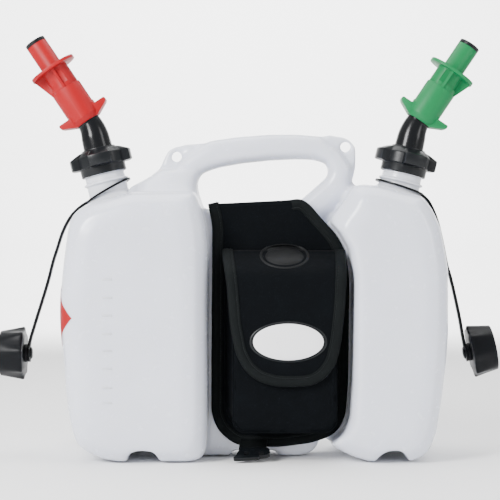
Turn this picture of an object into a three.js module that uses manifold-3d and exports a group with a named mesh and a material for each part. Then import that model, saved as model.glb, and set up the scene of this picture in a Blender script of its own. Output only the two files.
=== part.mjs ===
// Combination fuel can: a two-chamber blow-moulded can with two spring-loaded
// fillers, two tethered screw caps and a neoprene tool bag in the middle recess.
// Millimetres, +Z up, +X from the fuel side to the oil side, front towards -Y.
import * as THREE from "three";
import { mergeVertices } from "three/addons/utils/BufferGeometryUtils.js";
import Module from "manifold-3d";

const wasm = await Module();
wasm.setup();

// Sizes that the whole object shares
const GAP = 0.3;
const WALL = 2.4;
const BODY_HALF_DEPTH = 77.5;
const BODY_EDGE_RADIUS = 24;
const BRIDGE_HALF_DEPTH = 22;
const PINCH_THICKNESS = 6;
const EYELET_RADIUS = 5.2;

// Outlines of the can seen from the front, [x, z]
const FUEL_OUTLINE = [
  [-154.7, 249.9], [-164.3, 244.6], [-170.6, 238.8], [-174.5, 230.6], [-176.7, 217.6],
  [-179.8, 193.9], [-182.7, 162.9], [-183.2, 145.5], [-182.7, 127.2], [-179.8, 101.1],
  [-177.9, 70.1], [-175, 46.9], [-172.1, 31.5], [-167.2, 17], [-156.6, 9.2], [-144, 3.4],
  [-127.6, 0], [-57, 0], [-46.5, 3.4], [-42, 13.1], [-41, 40.2], [-41, 209.3],
  [-43.5, 231.6], [-48.5, 250], [-54, 261.5], [-114.1, 260.6],
];
const OIL_OUTLINE = [
  [72.5, 19.9], [83.1, 13.1], [98.6, 5.4], [116, 0], [154.2, 0], [168.2, 5.7], [174, 13.1],
  [179.8, 28.6], [184.6, 56.6], [189.5, 97.2], [191.4, 124.3], [191.4, 186.1],
  [187.5, 208.4], [183.7, 227.2], [175.9, 244.1], [166.3, 256.4], [124.7, 266.7],
  [106.3, 268.3], [99.6, 265.4], [90.9, 250.9], [81.2, 238.8], [74.4, 227.7],
  [72.5, 214.2], [72.5, 120],
];
const BRIDGE_OUTLINE = [
  [-60, 1], [48, 1], [60, 4], [66.5, 10], [69.5, 22], [69.5, 224], [64, 237],
  [54, 245], [-60, 245],
];
const FUEL_NOTCH = [
  [-117.5, -2], [-117.5, 6.7], [-113.3, 11.5], [-105.6, 13.1], [-91.5, 11.9],
  [-89.3, 6.7], [-85, -2],
];
const OIL_NOTCH = [
  [121, -2], [122.5, 4.8], [126.7, 10], [133.4, 13.1], [144, 13.1], [148.8, 8.7],
  [154.5, -2],
];
const STRAP_NOTCH = [[-20, -2], [-18, 7], [26, 7], [28, -2]];
const PINCH_OUTLINE = [
  [65, 26], [78, 26], [78, 226], [92, 248], [106, 262], [103, 272], [90, 276],
  [76, 256], [62, 236],
];
const HORN_LEFT = [
  [-92, 283], [-89, 288.5], [-86, 296.5], [-82, 304], [-74, 308.3], [-60, 310.7],
  [-47, 312], [-44, 302], [-54, 288], [-64, 276], [-86, 272],
];
const HORN_RIGHT = [
  [68, 318], [80, 319.7], [93, 317.8], [101, 314], [105.5, 307], [106, 295],
  [104.5, 277], [94, 275], [85, 290], [72, 300],
];
const EYELETS = [[-73, 297.5], [95.3, 307.5]];

// Handle tube: [x, z, half width, half depth] along its centre line
const HANDLE = [
  [-98, 236, 15, 16], [-80, 258.5, 15, 16], [-66, 276.5, 14.5, 16], [-55, 290.5, 12.2, 15],
  [-36, 300, 14.3, 15], [-10, 304.1, 13.6, 15.5], [18, 306.7, 13.2, 15.5],
  [46, 307.5, 12.6, 15.5], [66, 306.3, 12.3, 15], [82.5, 297.5, 9.3, 14],
  [90.5, 283.5, 12.5, 15], [87, 269.5, 13.5, 15], [72, 255.5, 13.5, 15.5],
  [54, 240, 13.5, 15.5], [38, 224, 13, 15.5],
];
// Shoulder that rises to the handle: [z, x from, x to, half depth]
const STEM = [
  [232, -136, -46, 52], [250, -130, -47, 46], [262, -118, -51, 36], [271, -112, -52, 28],
  [277, -101, -51, 23], [284, -92, -48, 18],
];

// Necks: the origin of each filler frame is the lower rim of its union nut
const TILT = THREE.MathUtils.degToRad(13.8);
const FUEL_NECK = { x: -145.5, z: 280.2, shoulder: 24.4, turn: 3, rest: 1.2, loopDrop: 16.7, loopTilt: 16.4, loop: 21.1 };
const OIL_NECK = { x: 152.4, z: 280.6, shoulder: 17.1, turn: 15, rest: 5.2, loopDrop: 13.5, loopTilt: 4.5, loop: 20.2 };
const NECK_RADIUS = 19.7;
const NECK_ROOT = 50;
const NECK_BORE = 17;
const NECK_TOP = 17;
const BEAD_RADIUS = 22.2;

// Fillers: heights along the neck, then along the spout from the slider flange
const NUT_SKIRT_RADIUS = 22.8;
const NUT_BORE = 20.8;
const NUT_LOBE_RADIUS = 31;
const NUT_BODY_RADIUS = 24.2;
const NUT_LOBE_FROM = 8.6;
const NUT_LOBE_TO = 20.2;
const NUT_TOP = 25.3;
const NUT_HOLE = 15.3;
const NUT_COLLAR_TOP = 26.5;
const GASKET_THICKNESS = 1.9;
const ELBOW_FLANGE = 2.5;
const ELBOW_RADIUS = 14.5;
const ELBOW_END_RADIUS = 11.8;
const ELBOW_WALL = 2.2;
const SPOUT_BEND = THREE.MathUtils.degToRad(20.2);
const SPOUT_OUT = 25.7;
const SPOUT_UP = 116.9;
const SLEEVE_RIM = 26.5;
const SLEEVE_FOOT = 66;
const SLEEVE_RADIUS = 16.1;
const SLEEVE_BORE = 14.5;
const LEDGE_TOP = 50;
const LEDGE_THICKNESS = 1.6;
const LEDGE_BORE = 9.6;
const WING_SPAN = 27;
const WING_HALF_DEPTH = 9;
const NOSE_RADIUS = 10.75;
const NOSE_BORE = 8.9;
const NOSE_LENGTH = 28;
const TIP_THICKNESS = 3.5;
const FLANGE_THICKNESS = 3;
const EAR_HALF_SPAN = 24.4;
const EAR_HALF_DEPTH = 20;
const SLIDER_RADIUS = SLEEVE_BORE - GAP;
const SLIDER_BORE = 12;
const SLIDER_LENGTH = 36;
const FIN_THICKNESS = 2.6;
const SPIDER_THICKNESS = 1.7;
const ROD_RADIUS = 2.5;
const SPIGOT_RADIUS = 2;
const VENT_RADIUS = 3.3;
const SPRING_RADIUS = 10.9;
const SPRING_WIRE = 0.65;
const SPRING_TURNS = 6.5;

// Tethered caps: the leash runs from loop to eye through [share of the way, bulge outwards]
const LEASH_WIDTH = 9;
const LEASH_THICKNESS = 2;
const LOOP_OUTER = 25;
const LOOP_MIDDLE = 22.5;
const FUEL_LEASH = [
  [0.006, 0.2], [0.05, 6.5], [0.101, 11.3], [0.165, 13.1], [0.242, 13.6], [0.345, 12.3],
  [0.429, 11.3], [0.529, 9.2], [0.638, 7.6], [0.76, 6.2], [0.844, 5.2], [0.908, 4.3],
  [0.951, 3.1], [0.986, 0.9],
];
const OIL_LEASH = [
  [0.004, 0.6], [0.053, 5.3], [0.123, 7.7], [0.207, 8.4], [0.331, 7.3], [0.454, 5.6],
  [0.54, 5.8], [0.658, 4.9], [0.785, 3.4], [0.88, 1.7], [0.946, 0.7], [0.976, 0.3],
];
const CAP_TOP_RADIUS = 26.5;
const CAP_RIM_RADIUS = 22.2;
const CAP_BORE = 20.6;
const CAP_HEIGHT = 23.5;
const CAP_TOP_THICKNESS = 2.5;
const CAP_BOSS_RADIUS = 9;
const CAP_BOSS_HEIGHT = 3.2;
const STUD_RADIUS = 3.2;
const BUTTON_RADIUS = 6;
const BUTTON_THICKNESS = 1.6;
const FUEL_CAP = { x: -225, z: 101.5, tilt: 0 };
const OIL_CAP = { x: 220.2, z: 102.9, tilt: -11 };

// Bag: outlines seen from the front, [x, z], and depths along Y
const BAG_OUTLINE = [
  [-41.2, 249.7], [-36.8, 229.1], [-37.7, 43.5], [-31.4, 27.7], [-21, 17.9], [-10.8, 12.5],
  [28.1, 11], [59.6, 15], [78.6, 21.3], [88.4, 30], [93.8, 43.5], [96.2, 78.2], [97.2, 166.2],
  [97.2, 179.9], [92.9, 204.5], [84.2, 220.2], [69.7, 235.9], [57.9, 250.1], [49.1, 255.6],
  [40.3, 253.6],
];
const FLAP_OUTLINE = [
  [-25.7, 206], [-21.9, 170.2], [-19, 133.1], [-13.3, 104.5], [-4.8, 89.3], [6.7, 79.8],
  [23.8, 74.5], [40.9, 74.1], [58.1, 75], [71.4, 81.7], [81.9, 96], [86.6, 116],
  [90.4, 150.2], [92.3, 184.5], [92, 206],
];
const RECESS_CLEARANCE = 2.5;
const PANEL_THICKNESS = 3;
const PANEL_Y = BRIDGE_HALF_DEPTH + 0.6;
const BINDING_WIDTH = 9;
const BINDING_COVER = 0.8;
const POUCH_FRONT_Y = 67;
const CLOTH = 2.4;
const POUCH_BASE = { x0: -24.5, x1: 84.5, z0: 28, z1: 192 };
const POUCH_FACE = { x0: -16.2, x1: 82.7, z0: 30, z1: 186 };
const FLAP_Y = POUCH_FRONT_Y + 2.6;
const BADGE = { x: 36.5, z: 117, hx: 35, hz: 18.3, thickness: 1.6 };
const PORT = { x: 33.4, z: 199, hx: 23.6, hz: 12.6 };
const STRAP_WIDTH = 25;
const STRAP_X = 4.4;
const STRAP_THICKNESS = 1.6;

const MATERIALS = {
  natural: ["#dfe4ee", 0.45],
  black: ["#23272d", 0.35],
  red: ["#dc2d37", 0.35],
  green: ["#19a055", 0.35],
  rubber: ["#17191c", 0.8],
  steel: ["#b8bcc2", 0.3],
  cloth: ["#141a20", 0.9],
  badge: ["#e1e3e2", 0.4],
};

const can = new THREE.Group();
const { Matrix4, Vector2, Vector3 } = THREE;

// Solids

function solidOf(geometry) {
  const bare = new THREE.BufferGeometry();
  const flat = geometry.index ? geometry.toNonIndexed() : geometry;
  bare.setAttribute("position", flat.getAttribute("position"));
  const merged = mergeVertices(bare, 1e-4);
  const position = merged.getAttribute("position");
  const index = Array.from(merged.index.array);
  const corner = (i) => new Vector3().fromBufferAttribute(position, i);
  const kept = [];
  let volume = 0;
  for (let i = 0; i < index.length; i += 3) {
    const [a, b, c] = index.slice(i, i + 3);
    if (a === b || b === c || a === c) continue;
    kept.push(a, b, c);
    volume += corner(a).dot(corner(b).cross(corner(c)));
  }
  if (volume < 0) kept.reverse();
  return new wasm.Manifold(
    new wasm.Mesh({
      numProp: 3,
      vertProperties: new Float32Array(position.array),
      triVerts: new Uint32Array(kept),
    }),
  );
}

function geometryOf(solid) {
  const made = solid.getMesh();
  const geometry = new THREE.BufferGeometry();
  const positions = new Float32Array(made.vertProperties);
  geometry.setAttribute("position", new THREE.BufferAttribute(positions, 3));
  geometry.setIndex(new THREE.BufferAttribute(new Uint32Array(made.triVerts), 1));
  const flat = geometry.toNonIndexed();
  flat.computeVertexNormals();
  return flat;
}

function addPart(group, name, solid, material) {
  const [color, roughness] = MATERIALS[material];
  const look = new THREE.MeshStandardMaterial({ color, roughness });
  const mesh = new THREE.Mesh(geometryOf(solid), look);
  mesh.name = name;
  group.add(mesh);
  return mesh;
}

function moved(solid, matrix) {
  return solidOf(geometryOf(solid).applyMatrix4(matrix));
}

function union(...solids) {
  return solids.reduce((sum, next) => sum.add(next));
}

// Closed skin through rings of equal length; the ends are fans
function loft(rings) {
  const count = rings[0].length;
  const points = rings.flat();
  const index = [];
  for (let r = 0; r + 1 < rings.length; r += 1) {
    for (let i = 0; i < count; i += 1) {
      const a = r * count + i;
      const b = r * count + ((i + 1) % count);
      index.push(a, b, b + count, a, b + count, a + count);
    }
  }
  const ends = [
    [rings[0], 0, true],
    [rings[rings.length - 1], (rings.length - 1) * count, false],
  ];
  for (const [ring, start, first] of ends) {
    const flatRing = ring.map((p) => flatten(ring, p));
    for (const [a, b, c] of THREE.ShapeUtils.triangulateShape(flatRing, [])) {
      if (first) index.push(start + a, start + c, start + b);
      else index.push(start + a, start + b, start + c);
    }
  }
  const geometry = new THREE.BufferGeometry();
  geometry.setAttribute("position", new THREE.Float32BufferAttribute(points.flat(), 3));
  geometry.setIndex(index);
  return solidOf(geometry);
}

// A ring point in the ring's own plane, which keeps the ring's sense of turn
function flatten(ring, p) {
  const origin = new Vector3(...ring[0]);
  const normal = new Vector3();
  ring.forEach((q, i) => {
    const next = ring[(i + 1) % ring.length];
    const edge = new Vector3(...q).sub(origin);
    normal.add(edge.cross(new Vector3(...next).sub(origin)));
  });
  normal.normalize();
  const guide = Math.abs(normal.z) < 0.8 ? new Vector3(0, 0, 1) : new Vector3(1, 0, 0);
  const across = guide.cross(normal).normalize();
  const up = normal.clone().cross(across);
  const offset = new Vector3(...p).sub(origin);
  return new Vector2(offset.dot(across), offset.dot(up));
}

// Outline moved inwards by a distance; negative moves it outwards
function inset(outline, distance) {
  const area = THREE.ShapeUtils.area(outline.map(([x, z]) => new Vector2(x, z)));
  const sense = Math.sign(area);
  return outline.map(([x, z], i) => {
    const [px, pz] = outline[(i + outline.length - 1) % outline.length];
    const [nx, nz] = outline[(i + 1) % outline.length];
    const before = new Vector2(x - px, z - pz).normalize();
    const after = new Vector2(nx - x, nz - z).normalize();
    const normal = new Vector2(-before.y - after.y, before.x + after.x).normalize();
    const stretch = Math.min(1.4, 1 / Math.max(0.4, normal.dot(new Vector2(-after.y, after.x))));
    return [x + normal.x * distance * sense * stretch, z + normal.y * distance * sense * stretch];
  });
}

function prism(outline, y0, y1) {
  const ring = (y) => outline.map(([x, z]) => [x, y, z]);
  return loft([ring(y0), ring(y1)]);
}

// Outline as a slab whose front and back edges are rounded
function roundedSlab(outline, half, radius, steps = 3) {
  const xs = outline.map((p) => p[0]);
  const zs = outline.map((p) => p[1]);
  const middle = [(Math.min(...xs) + Math.max(...xs)) / 2, (Math.min(...zs) + Math.max(...zs)) / 2];
  const spread = [(Math.max(...xs) - Math.min(...xs)) / 2, (Math.max(...zs) - Math.min(...zs)) / 2];
  const layer = (y, d) =>
    outline.map(([x, z]) => [
      middle[0] + (x - middle[0]) * (1 - d / spread[0]),
      y,
      middle[1] + (z - middle[1]) * (1 - d / spread[1]),
    ]);
  const rings = [];
  for (let i = steps; i >= 0; i -= 1) {
    const angle = (i / steps) * (Math.PI / 2);
    const y = half - radius + radius * Math.sin(angle);
    rings.push(layer(-y, radius * (1 - Math.cos(angle))));
  }
  for (let i = 0; i <= steps; i += 1) {
    const angle = (i / steps) * (Math.PI / 2);
    const y = half - radius + radius * Math.sin(angle);
    rings.push(layer(y, radius * (1 - Math.cos(angle))));
  }
  return loft(rings);
}

// Superellipse ring about a centre, spanned by two directions
function ovalRing(centre, u, v, a, b, power = 2.6, count = 16) {
  const ring = [];
  for (let i = 0; i < count; i += 1) {
    const t = (i / count) * Math.PI * 2;
    const c = Math.sign(Math.cos(t)) * Math.abs(Math.cos(t)) ** (2 / power);
    const s = Math.sign(Math.sin(t)) * Math.abs(Math.sin(t)) ** (2 / power);
    const p = centre.clone().addScaledVector(u, a * c).addScaledVector(v, b * s);
    ring.push(p.toArray());
  }
  return ring;
}

function handleTube(shrink) {
  const across = new Vector3(0, 1, 0);
  const rings = HANDLE.map(([x, z, width, depth], i) => {
    const before = HANDLE[Math.max(0, i - 1)];
    const after = HANDLE[Math.min(HANDLE.length - 1, i + 1)];
    const along = new Vector3(after[0] - before[0], 0, after[1] - before[1]).normalize();
    const side = across.clone().cross(along);
    return ovalRing(new Vector3(x, 0, z), side, across, width - shrink, depth - shrink);
  });
  return loft(rings);
}

function stem(shrink) {
  const rings = STEM.map(([z, x0, x1, depth], i) => {
    const last = i === STEM.length - 1;
    const centre = new Vector3((x0 + x1) / 2, 0, last ? z - shrink : z);
    const u = new Vector3(1, 0, 0);
    const v = new Vector3(0, 1, 0);
    return ovalRing(centre, u, v, (x1 - x0) / 2 - shrink, depth - shrink, 3, 20);
  });
  return loft(rings);
}

function lathe(profile, segments = 20) {
  const points = profile.map(([r, z]) => new Vector2(r, z));
  if (profile[0][0] !== 0 || profile[profile.length - 1][0] !== 0) points.push(points[0].clone());
  const geometry = new THREE.LatheGeometry(points, segments);
  return solidOf(geometry.rotateX(Math.PI / 2));
}

function cylinder(radius, z0, z1, segments = 20) {
  return lathe([[0, z0], [radius, z0], [radius, z1], [0, z1]], segments);
}

function tube(outer, inner, z0, z1, segments = 20) {
  return lathe([[inner, z0], [outer, z0], [outer, z1], [inner, z1]], segments);
}

function box(x0, x1, y0, y1, z0, z1) {
  const geometry = new THREE.BoxGeometry(x1 - x0, y1 - y0, z1 - z0);
  geometry.translate((x0 + x1) / 2, (y0 + y1) / 2, (z0 + z1) / 2);
  return solidOf(geometry);
}

// Can body

function neckMatrix(neck) {
  const side = neck.x < 0 ? -1 : 1;
  return new Matrix4()
    .makeTranslation(neck.x, 0, neck.z)
    .multiply(new Matrix4().makeRotationY(side * TILT));
}

function neckSolid(neck) {
  const foot = -neck.shoulder - NECK_ROOT;
  const wall = lathe([
    [0, foot],
    [NECK_RADIUS, foot],
    [NECK_RADIUS, -9.2],
    [BEAD_RADIUS, -8.8],
    [BEAD_RADIUS, -7],
    [NECK_RADIUS, -6.6],
    [NECK_RADIUS, NECK_TOP],
    [0, NECK_TOP],
  ]);
  return moved(wall, neckMatrix(neck));
}

function neckBore(neck) {
  return moved(cylinder(NECK_BORE, -neck.shoulder - NECK_ROOT - 2, NECK_TOP + 1), neckMatrix(neck));
}

function recess(clearance, from) {
  const outline = inset(BAG_OUTLINE, -clearance);
  const wide = inset(BAG_OUTLINE, -clearance - 7);
  const ring = (points, y) => points.map(([x, z]) => [x, y, z]);
  const deep = BODY_HALF_DEPTH - 9;
  const front = loft([ring(wide, -BODY_HALF_DEPTH - 3), ring(outline, -deep), ring(outline, -from)]);
  const back = loft([ring(outline, from), ring(outline, deep), ring(wide, BODY_HALF_DEPTH + 3)]);
  return front.add(back);
}

function buildBody() {
  const fuel = roundedSlab(FUEL_OUTLINE, BODY_HALF_DEPTH, BODY_EDGE_RADIUS);
  const oil = roundedSlab(OIL_OUTLINE, BODY_HALF_DEPTH, BODY_EDGE_RADIUS);
  const bridge = roundedSlab(BRIDGE_OUTLINE, BRIDGE_HALF_DEPTH, 6, 2);
  const pinch = prism(PINCH_OUTLINE, -PINCH_THICKNESS / 2, PINCH_THICKNESS / 2);
  const horns = prism(HORN_LEFT, -PINCH_THICKNESS / 2, PINCH_THICKNESS / 2)
    .add(prism(HORN_RIGHT, -PINCH_THICKNESS / 2, PINCH_THICKNESS / 2));
  const through = BODY_HALF_DEPTH + 5;
  const notches = [FUEL_NOTCH, OIL_NOTCH, STRAP_NOTCH];
  const cuts = union(...notches.map((n) => prism(n, -through, through)));
  const innerNotches = notches.map((n) => {
    const grown = inset(n, -WALL);
    grown[0][1] = -4;
    grown[grown.length - 1][1] = -4;
    return prism(grown, -through, through);
  });
  const innerCuts = union(...innerNotches);
  const pocket = recess(RECESS_CLEARANCE, BRIDGE_HALF_DEPTH);
  const innerPocket = recess(RECESS_CLEARANCE + WALL, BRIDGE_HALF_DEPTH - WALL);
  const eyelets = EYELETS.map(([x, z]) => {
    const turned = new Matrix4().makeTranslation(x, 0, z).multiply(new Matrix4().makeRotationX(Math.PI / 2));
    return moved(cylinder(EYELET_RADIUS, -20, 20, 20), turned);
  });
  const outer = union(fuel, oil.subtract(pocket), bridge, pinch, horns, stem(0), handleTube(0))
    .add(neckSolid(FUEL_NECK))
    .add(neckSolid(OIL_NECK))
    .subtract(cuts);
  const round = BODY_EDGE_RADIUS - WALL;
  const hollowFuel = union(
    roundedSlab(inset(FUEL_OUTLINE, WALL), BODY_HALF_DEPTH - WALL, round, 2),
    roundedSlab(inset(BRIDGE_OUTLINE, WALL), BRIDGE_HALF_DEPTH - WALL, 4, 2),
    stem(WALL),
    handleTube(WALL),
  );
  const hollowOil = roundedSlab(inset(OIL_OUTLINE, WALL), BODY_HALF_DEPTH - WALL, round, 2)
    .subtract(innerPocket);
  const hollow = hollowFuel.add(hollowOil)
    .subtract(innerCuts)
    .add(neckBore(FUEL_NECK))
    .add(neckBore(OIL_NECK));
  const shell = outer.subtract(hollow).subtract(union(...eyelets));
  addPart(can, "can_body", shell, "natural");
}

// Fillers

function lobeRing(z, body, lobe, turn, count = 32) {
  const ring = [];
  for (let i = 0; i < count; i += 1) {
    const t = (i / count) * Math.PI * 2;
    const wave = (1 + Math.cos(4 * (t - turn))) / 2;
    const r = body + (lobe - body) * wave ** 1.5;
    ring.push([r * Math.cos(t), r * Math.sin(t), z]);
  }
  return ring;
}

// Lobed nut or cap skirt from a list of [z, body radius, lobe radius]
function lobed(levels, turn) {
  return loft(levels.map(([z, body, lobe]) => lobeRing(z, body, lobe, turn)));
}

function unionNut(turn) {
  const skirt = NUT_SKIRT_RADIUS;
  const shell = lobed([
    [0, skirt - 0.5, skirt - 0.5],
    [0.6, skirt, skirt],
    [NUT_LOBE_FROM - 0.6, skirt, skirt],
    [NUT_LOBE_FROM, NUT_BODY_RADIUS, NUT_LOBE_RADIUS],
    [NUT_LOBE_TO - 1, NUT_BODY_RADIUS, NUT_LOBE_RADIUS],
    [NUT_LOBE_TO, NUT_BODY_RADIUS - 0.6, NUT_LOBE_RADIUS - 1.2],
    [NUT_TOP, 18, 18],
    [NUT_TOP + 0.2, 17.2, 17.2],
    [NUT_COLLAR_TOP, 16.8, 16.8],
  ], turn);
  const lip = NECK_TOP + 2 * GAP + GASKET_THICKNESS + ELBOW_FLANGE + GAP;
  const bore = lathe([
    [0, -1],
    [NUT_BORE, -1],
    [NUT_BORE, lip],
    [NUT_HOLE, lip],
    [NUT_HOLE, NUT_COLLAR_TOP + 1],
    [0, NUT_COLLAR_TOP + 1],
  ]);
  return shell.subtract(bore);
}

// Points [outwards, up] of the elbow centre line, neck frame
function elbowPath(extra) {
  const along = (d) => [
    SPOUT_OUT - d * Math.sin(SPOUT_BEND),
    SPOUT_UP - d * Math.cos(SPOUT_BEND),
  ];
  const corner = SPOUT_UP - SPOUT_OUT / Math.tan(SPOUT_BEND);
  const end = along(SLEEVE_FOOT);
  const reach = Math.hypot(end[0], end[1] - corner);
  const curve = new THREE.QuadraticBezierCurve(
    new Vector2(0, corner - reach),
    new Vector2(0, corner),
    new Vector2(...end),
  );
  const bend = curve.getPoints(6).map((p) => [p.x, p.y]);
  return [...extra.map((z) => [0, z]), ...bend, along(extra.top)];
}

function pathLoft(points, radii, count = 16) {
  const across = new Vector3(0, 1, 0);
  const rings = points.map(([out, up], i) => {
    const before = points[Math.max(0, i - 1)];
    const after = points[Math.min(points.length - 1, i + 1)];
    const along = new Vector3(before[0] - after[0], 0, after[1] - before[1]).normalize();
    const side = across.clone().cross(along);
    return ovalRing(new Vector3(-out, 0, up), side, across, radii[i], radii[i], 2, count);
  });
  return loft(rings);
}

function elbow() {
  const flangeFrom = NECK_TOP + 2 * GAP + GASKET_THICKNESS;
  const flangeTo = flangeFrom + ELBOW_FLANGE;
  const top = LEDGE_TOP + LEDGE_THICKNESS + GAP + SPIDER_THICKNESS + GAP;
  const levels = [flangeFrom, NUT_COLLAR_TOP + 1];
  levels.top = top;
  const path = elbowPath(levels);
  const radii = path.map((p, i) => {
    const share = Math.min(1, Math.max(0, (i - 1) / (path.length - 3)));
    return ELBOW_RADIUS + (ELBOW_END_RADIUS - ELBOW_RADIUS) * share;
  });
  const longer = path.map((p) => [...p]);
  longer[0][1] -= 2;
  const last = longer.length - 1;
  longer[last] = [
    path[last][0] + 2 * Math.sin(SPOUT_BEND),
    path[last][1] + 2 * Math.cos(SPOUT_BEND),
  ];
  const outside = pathLoft(path, radii).add(cylinder(NECK_RADIUS, flangeFrom, flangeTo));
  return outside.subtract(pathLoft(longer, radii.map((r) => r - ELBOW_WALL)));
}

function sleeve() {
  const wingShape = [
    [-13, -SLEEVE_FOOT + 0.4], [-25, -59.5], [-WING_SPAN, -57.5], [-WING_SPAN, -55.2],
    [-26, -54.5], [26, -54.5], [WING_SPAN, -55.2], [WING_SPAN, -57.5], [25, -59.5],
    [13, -SLEEVE_FOOT + 0.4],
  ];
  const wings = prism(wingShape, -WING_HALF_DEPTH, WING_HALF_DEPTH);
  const shell = lathe([
    [0, -SLEEVE_FOOT], [13.8, -SLEEVE_FOOT], [SLEEVE_RADIUS, -60.5],
    [SLEEVE_RADIUS, -SLEEVE_RIM], [0, -SLEEVE_RIM],
  ]);
  const socket = ELBOW_END_RADIUS + GAP;
  const bore = lathe([
    [0, -SLEEVE_FOOT - 1], [socket, -SLEEVE_FOOT - 1],
    [socket, -LEDGE_TOP - LEDGE_THICKNESS], [LEDGE_BORE, -LEDGE_TOP - LEDGE_THICKNESS],
    [LEDGE_BORE, -LEDGE_TOP], [SLEEVE_BORE, -LEDGE_TOP],
    [SLEEVE_BORE, -SLEEVE_RIM + 1], [0, -SLEEVE_RIM + 1],
  ]);
  const slot = box(-SLEEVE_RADIUS - 3, -12.5, -FIN_THICKNESS / 2 - 0.5, FIN_THICKNESS / 2 + 0.5, -44, -20);
  return shell.add(wings).subtract(bore).subtract(slot);
}

// The nose stands at rest as far below the spout's reference plane as rest says
function slider(rest) {
  const flange = loft([-FLANGE_THICKNESS - rest, -rest].map((z) => {
    const centre = new Vector3(0, 0, z);
    const u = new Vector3(1, 0, 0);
    const v = new Vector3(0, 1, 0);
    return ovalRing(centre, u, v, EAR_HALF_SPAN, EAR_HALF_DEPTH, 2.3, 32);
  }));
  const body = lathe([
    [0, -SLIDER_LENGTH], [SLIDER_RADIUS, -SLIDER_LENGTH], [SLIDER_RADIUS, -33.6],
    [13, -33.6], [13, -30.8], [SLIDER_RADIUS, -30.8], [SLIDER_RADIUS, -2 - rest],
    [NOSE_RADIUS, -2 - rest], [NOSE_RADIUS, NOSE_LENGTH - rest], [0, NOSE_LENGTH - rest],
  ]);
  const finShape = [
    [-13.4, -2.5 - rest], [-EAR_HALF_SPAN + 0.5, -2.5 - rest], [-16, -26], [-13.4, -28.5],
  ];
  const fin = prism(finShape, -FIN_THICKNESS / 2, FIN_THICKNESS / 2);
  const bore = lathe([
    [0, -SLIDER_LENGTH - 1], [SLIDER_BORE, -SLIDER_LENGTH - 1], [SLIDER_BORE, -5 - rest],
    [NOSE_BORE, -5 - rest], [NOSE_BORE, NOSE_LENGTH + 1], [0, NOSE_LENGTH + 1],
  ]);
  return union(flange, body, fin).subtract(bore);
}

function valveStem(rest) {
  const seat = NOSE_LENGTH - rest + GAP;
  const top = seat + TIP_THICKNESS;
  const low = -LEDGE_TOP - LEDGE_THICKNESS - GAP;
  const floor = low - SPIDER_THICKNESS;
  const core = lathe([
    [0, floor - 4], [SPIGOT_RADIUS, floor - 4], [SPIGOT_RADIUS, floor], [4.5, floor],
    [4.5, low], [ROD_RADIUS, low], [ROD_RADIUS, seat - 2.5],
    [NOSE_BORE - 0.6, seat - 2.5], [NOSE_BORE - 0.6, seat], [NOSE_RADIUS, seat],
    [NOSE_RADIUS, top - 0.8], [NOSE_RADIUS - 1, top], [0, top],
  ], 20);
  const rim = tube(ELBOW_END_RADIUS, LEDGE_BORE + 0.4, floor, low, 20);
  const spokes = [0, 1, 2].map((i) => {
    const bar = box(3, LEDGE_BORE + 1.4, -1.5, 1.5, floor, low);
    return moved(bar, new Matrix4().makeRotationZ((i * 2 * Math.PI) / 3));
  });
  return union(core, rim, ...spokes);
}

function spring(rest) {
  const from = -LEDGE_TOP + SPRING_WIRE + GAP;
  const to = -5 - rest - SPRING_WIRE - GAP;
  const points = [];
  const steps = Math.round(SPRING_TURNS * 8);
  for (let i = 0; i <= steps; i += 1) {
    const t = (i / 8) * Math.PI * 2;
    points.push(new Vector3(
      SPRING_RADIUS * Math.cos(t),
      SPRING_RADIUS * Math.sin(t),
      from + ((to - from) * i) / steps,
    ));
  }
  const wire = new THREE.Shape();
  for (let i = 0; i < 5; i += 1) {
    const t = (i * Math.PI * 2) / 5;
    const at = [SPRING_WIRE * Math.cos(t), SPRING_WIRE * Math.sin(t)];
    if (i === 0) wire.moveTo(...at);
    else wire.lineTo(...at);
  }
  const extrudePath = new THREE.CatmullRomCurve3(points);
  return solidOf(new THREE.ExtrudeGeometry(wire, { steps, extrudePath, bevelEnabled: false }));
}

function ventTube() {
  const levels = [-12, 10];
  levels.top = LEDGE_TOP + LEDGE_THICKNESS + 2 * GAP + SPIDER_THICKNESS;
  const path = elbowPath(levels);
  const longer = path.map((p) => [...p]);
  longer[0][1] -= 2;
  const last = longer.length - 1;
  longer[last] = [
    path[last][0] + 2 * Math.sin(SPOUT_BEND),
    path[last][1] + 2 * Math.cos(SPOUT_BEND),
  ];
  const outside = pathLoft(path, path.map(() => VENT_RADIUS), 8);
  return outside.subtract(pathLoft(longer, path.map(() => SPIGOT_RADIUS + GAP), 8));
}

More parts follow.
